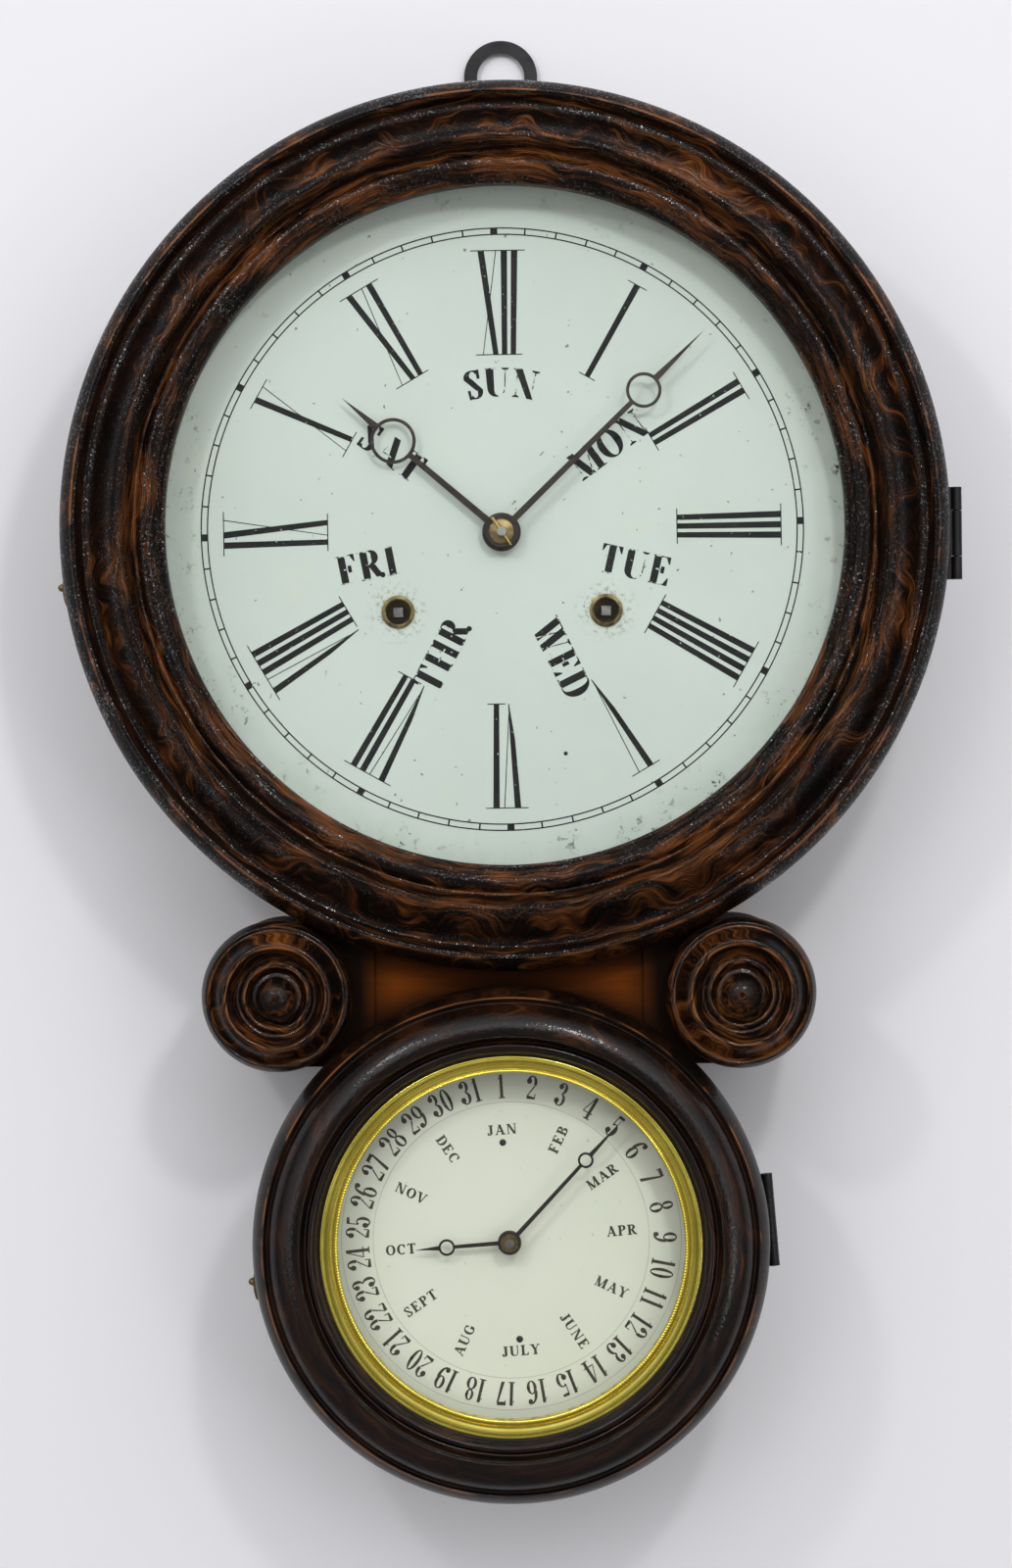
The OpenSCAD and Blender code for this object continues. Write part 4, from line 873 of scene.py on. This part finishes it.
def circle_line(bm, centre, depth, radius, wide, lift):
    pairs = []
    for i in range(CIRCLE_STEPS):
        c, s = math.cos(2 * math.pi * i / CIRCLE_STEPS), math.sin(2 * math.pi * i / CIRCLE_STEPS)
        pairs.append([(r * c, r * s) for r in (radius - wide / 2, radius + wide / 2)])
    add_strip(bm, lambda u, v, out: facing_us(centre, u, v, out), pairs, depth, depth + lift, True)


# Lettering of the upper dial. Turns and angles are in degrees clockwise from the top.
DIAL_C = Vector((ARBOR.x + 0.4 * MM, 0, ARBOR.z + 1.6 * MM))
TRACK_TURN = -1.15
TRACK_OUT, TRACK_IN = 134.3 * MM, 131.5 * MM
TRACK_LINE = 0.6 * MM
MINUTE_MARK = 0.72 * MM
HOUR_MARK = 3.2 * MM
NUMERAL_TURN = -0.5
NUMERAL_IN, NUMERAL_OUT = 77.9 * MM, 124.3 * MM
BAR_W = 2.65 * MM
HAIR = 0.46 * MM
FINE_HAIR = 0.85 * HAIR
PITCH = {"I": 4.25 * MM, "V": 8.8 * MM, "X": 9.5 * MM}
SIDE_GAP = 0.18 * PITCH["I"]
APEX_SHIFT = 0.6 * MM
CONVERGE = 0.085
SERIF = 3.0 * MM
NUMERALS = ["XII", "I", "II", "III", "IIII", "V", "VI", "VII", "VIII", "IX", "X", "XI"]


def minute_track():
    bm = bmesh.new()
    for radius in (TRACK_OUT, TRACK_IN):
        circle_line(bm, DIAL_C, DIAL, radius, TRACK_LINE, INK)
    half = (TRACK_OUT - TRACK_IN) / 2 + TRACK_LINE / 2
    for minute in range(60):
        angle = TRACK_TURN + 6 * minute
        place = turned_place(angle, (TRACK_OUT + TRACK_IN) / 2, angle)
        wide = HOUR_MARK if minute % 5 == 0 else MINUTE_MARK
        add_strip(bm, lambda u, v, out: facing_us(DIAL_C, *place(u, v), out), bar((0, -half), (0, half), wide),
                  DIAL, DIAL + 1.03 * INK)
    finish_mesh("minute_track", bm, MATERIALS["ink"], "case")


def v_strokes(left, right):
    """The thick stroke of a V, bent at its waist, and its hairline."""
    apex = (left + right) / 2 + APEX_SHIFT
    waist = apex - 0.4 * (apex - left)
    thick = [((apex - HAIR / 2, -1), (apex + HAIR / 2, -1)),
             ((waist - 0.36 * BAR_W, -0.3), (waist + 0.5 * BAR_W, -0.3)), ((left, 1), (left + BAR_W, 1))]
    return [thick, bar((apex, -0.8), (right - HAIR, 1), FINE_HAIR)]


def roman(text):
    """Strokes of a Roman numeral, u across and v from -1 (foot) to 1 (top), and the ends of its serifs."""
    at = -sum(PITCH[ch] for ch in text) / 2
    strokes, tops, feet = [], [], []
    for ch in text:
        left, right = at + SIDE_GAP, at + PITCH[ch] - SIDE_GAP
        at += PITCH[ch]
        if ch == "I":
            mid = (left + right) / 2
            strokes.append(bar((mid, -1), (mid, 1), BAR_W))
        elif ch == "X":
            strokes.append(bar((right - BAR_W / 2, -1), (left + BAR_W / 2, 1), BAR_W))
            strokes.append(bar((left + HAIR, -1), (right - HAIR, 1), FINE_HAIR))
        else:
            strokes += v_strokes(left, right)
        tops += [left, right]
        feet += [] if ch == "V" else [left, right]
    return strokes, tops, feet


def numerals():
    """Roman numerals whose bars draw together towards the middle of the dial."""
    bm = bmesh.new()
    half = (NUMERAL_OUT - NUMERAL_IN) / 2
    for hour, name in enumerate(NUMERALS):
        angle = NUMERAL_TURN + 30 * hour
        flat = turned_place(angle, (NUMERAL_IN + NUMERAL_OUT) / 2, angle)
        strokes, tops, feet = roman(name)

        def place(u, v, out):
            return facing_us(DIAL_C, *flat(u * (1 + CONVERGE * v / half), v), out)
        for k, pairs in enumerate(strokes):
            scaled = [[(u, v * half) for u, v in pair] for pair in pairs]
            add_strip(bm, place, scaled, DIAL, DIAL + INK + k * LAYER)
        for ends, v in ((tops, half), (feet, -half)):
            if ends:
                serif = bar((min(ends) - SERIF, v), (max(ends) + SERIF, v), HAIR)
                add_strip(bm, place, serif, DIAL, DIAL + 1.2 * INK)
    finish_mesh("hour_numerals", bm, MATERIALS["ink"], "case")


# Days with their angle, distance in millimetres and tilt
WEEKDAYS = [("SUN", 0, 65.6, 0), ("MON", 51.9, 60.4, -36), ("TUE", 105.4, 61.4, 13), ("WED", 155.6, 63.6, 64),
            ("THR", 206.2, 62.2, -62), ("FRI", 255.5, 62.4, -11), ("SAT", 305.5, 60.2, 36)]
WEEKDAY_STYLE = {"height": 12.9 * MM, "wide": 0.9, "thick": 0.28, "thin": 0.045, "gap": 0.09}


def weekdays():
    """Words for the days, the first of them bent. Their hairlines have mostly worn away."""
    ink_bm, faint_bm = bmesh.new(), bmesh.new()
    for text, angle, distance, tilt in WEEKDAYS:
        away = distance * MM
        place = bent_place(angle, away) if text == "SUN" else turned_place(angle, away, tilt)
        write(ink_bm, DIAL_C, DIAL, text, place, **WEEKDAY_STYLE, faint=faint_bm)
    finish_mesh("weekday_words", ink_bm, MATERIALS["ink"], "case")
    finish_mesh("weekday_hairlines", faint_bm, MATERIALS["worn_ink"], "case")


# Lettering of the calendar dial
CALENDAR_C = Vector((LOWER.x, 0, LOWER.z + 0.4 * MM))
DATE_TURN = -3.4
DATE_R = 68.6 * MM
DATE_STYLE = {"height": 10.6 * MM, "wide": 0.84, "thick": 0.155, "thin": 0.05, "gap": 0.02}
MONTH_TURN = -4.4
MONTH_R = 49.4 * MM
MONTH_STYLE = {"height": 4.6 * MM, "wide": 1.0, "thick": 0.25, "thin": 0.1, "gap": 0.16}
MONTHS = ["JAN", "FEB", "MAR", "APR", "MAY", "JUNE", "JULY", "AUG", "SEPT", "OCT", "NOV", "DEC"]
CIRCLES = (61.6 * MM, 75.8 * MM)
CIRCLE_LINE = 0.22 * MM


def month_tilt(number, angle):
    """The first month has its top outward and the seventh inward. The others run along their radius."""
    if number == 0:
        return angle
    if number == 6:
        return angle + 180
    return angle - 90 if number < 6 else angle + 90


def calendar_marks():
    bm = bmesh.new()
    for day in range(31):
        angle = DATE_TURN + day * 360 / 31
        write(bm, CALENDAR_C, CALENDAR, str(day + 1), turned_place(angle, DATE_R, angle), **DATE_STYLE)
    for number, text in enumerate(MONTHS):
        angle = MONTH_TURN + 30 * number
        place = turned_place(angle, MONTH_R, month_tilt(number, angle))
        write(bm, CALENDAR_C, CALENDAR, text, place, **MONTH_STYLE)
    finish_mesh("calendar_words", bm, MATERIALS["calendar_ink"], "case")
    lines = bmesh.new()
    for radius in CIRCLES:
        circle_line(lines, CALENDAR_C, CALENDAR, radius, CIRCLE_LINE, 0.6 * INK)
    finish_mesh("calendar_circles", lines, MATERIALS["faint_ink"], "case")


minute_track()
numerals()
weekdays()
calendar_marks()

# Nail that holds the upper dial
NAIL_R = 0.95 * MM
NAIL_H = 0.35 * MM
nail_c = Vector((DIAL_C.x + 27.4 * MM, 0, DIAL_C.z - 100.2 * MM))
nail_outline = [(0, DIAL)] + arc(0, DIAL, NAIL_R, NAIL_H, range(0, 91, 15))
lathe("dial_nail", nail_c, nail_outline, MATERIALS["browned_steel"], "case", 24)

# Stage: a floor, and a pale wall that rays pass through from behind, or within WALL_REACH of where they start, so
# that light reaches the back of the clock
WALL_REACH = 12 * MM
WALL_BACK = 1.5 * MM
WALL_TOP = 2
FLOOR_Z = -1.4
SPREAD = 3


def stage_paint(name, tone):
    paint = Paint(name)
    paint.set(Base_Color=tone, Roughness=0.9, Specular_IOR_Level=0.1)
    return paint


def stage_sheet(name, corners, material):
    mesh = bpy.data.meshes.new(name)
    mesh.from_pydata(corners, [], [(0, 1, 2, 3)])
    mesh.materials.append(material)
    sheet = bpy.data.objects.new(name, mesh)
    bpy.context.scene.collection.objects.link(sheet)


wall_paint = stage_paint("wall_paint", (0.80, 0.79, 0.815))
near = wall_paint.math("LESS_THAN", wall_paint.node("LightPath").outputs["Ray Length"], WALL_REACH)
behind = wall_paint.node("NewGeometry").outputs["Backfacing"]
wall_paint.see_through(wall_paint.math("MAXIMUM", behind, near))
floor_paint = stage_paint("floor_paint", (0.34, 0.33, 0.32))
wall_sides = ((-SPREAD, FLOOR_Z), (SPREAD, FLOOR_Z), (SPREAD, WALL_TOP), (-SPREAD, WALL_TOP))
stage_sheet("wall", [(x, WALL_BACK, z) for x, z in wall_sides], wall_paint.material)
floor_sides = ((-SPREAD, -4), (SPREAD, -4), (SPREAD, 3), (-SPREAD, 3))
stage_sheet("floor", [(x, y, FLOOR_Z) for x, y in floor_sides], floor_paint.material)

# Camera: level and straight ahead, a little below the middle of the upper glass, with the lean of the photo
CAMERA_OUT = 1.7009
CAMERA_ASIDE = -0.5 * MM
CAMERA_DOWN = 114.3 * MM
SENSOR = 36
LENS = 83.7
LEAN = math.radians(0.52)
camera_data = bpy.data.cameras.new("camera")
camera_data.sensor_width = SENSOR
camera_data.lens = LENS
camera = bpy.data.objects.new("camera", camera_data)
camera.location = (CAMERA_ASIDE, -CAMERA_OUT, UPPER.z - CAMERA_DOWN)
camera.rotation_euler = Matrix.Rotation(math.radians(90), 3, "X").to_euler()
camera.rotation_euler.rotate_axis("Z", -LEAN)
bpy.context.scene.collection.objects.link(camera)
bpy.context.scene.camera = camera

# Lamps, aimed at the middle of the clock
LAMP_TARGET = Vector((0, -0.08, -0.33))


def area_lamp(name, azimuth, height, distance, size, power):
    """A square lamp. azimuth is its angle to the right of straight out, and height its angle above level."""
    data = bpy.data.lights.new(name, "AREA")
    data.size = size
    data.energy = power
    lamp = bpy.data.objects.new(name, data)
    a, b = math.radians(azimuth), math.radians(height)
    way = Vector((math.sin(a) * math.cos(b), -math.cos(a) * math.cos(b), math.sin(b)))
    lamp.location = LAMP_TARGET + way * distance
    lamp.rotation_euler = (-way).to_track_quat("-Z", "Y").to_euler()
    bpy.context.scene.collection.objects.link(lamp)


area_lamp("left_lamp", -28.2, 27.2, 1.64, 0.13, 3.2)
area_lamp("right_lamp", 15.4, 28.3, 1.34, 0.11, 3.3)
area_lamp("low_lamp", 31, -16, 2.4, 0.25, 1.7)

# How bright the room is: behind the wall (0), then from directions along it to straight out of it (1)
ROOM_LEVELS = ((0.0, 0.9), (0.01, 0.20), (0.25, 0.20), (0.8, 1.19), (0.9, 2.20), (0.95, 0.14))
ROOM_RISE = 0.9
ROOM_TINT = (0.97, 0.98, 1.0)
BACKGROUND = (0.84, 0.84, 0.84)


class Room(Paint):
    """The world's node tree."""

    def __init__(self, name):
        self.world = bpy.data.worlds.new(name)
        self.world.use_nodes = True
        self.tree = self.world.node_tree
        self.shader = self.tree.nodes["Background"]
        self.place = self.node("TexCoord").outputs["Generated"]


def room_light():
    """A bright room in front of the clock, brighter above, with a dark patch where the camera stands.
    The camera sees an even pale background, also through the glasses, but not in their reflections."""
    room = Room("room")
    up = room.parts(room.place)[2]
    level = room.ramp(room.outward(), *ROOM_LEVELS)
    level = room.times(level, room.math("MULTIPLY_ADD", up, ROOM_RISE, 1.0))
    rays = room.node("LightPath").outputs
    unreflected = room.math("LESS_THAN", rays["Glossy Depth"], 0.5)
    through = room.times(rays["Is Transmission Ray"], unreflected)
    seen = room.math("MAXIMUM", rays["Is Camera Ray"], through)
    room.set(Color=ROOM_TINT, Strength=room.mix(seen, level, BACKGROUND))
    bpy.context.scene.world = room.world


room_light()
bpy.context.scene.view_settings.view_transform = "Standard"
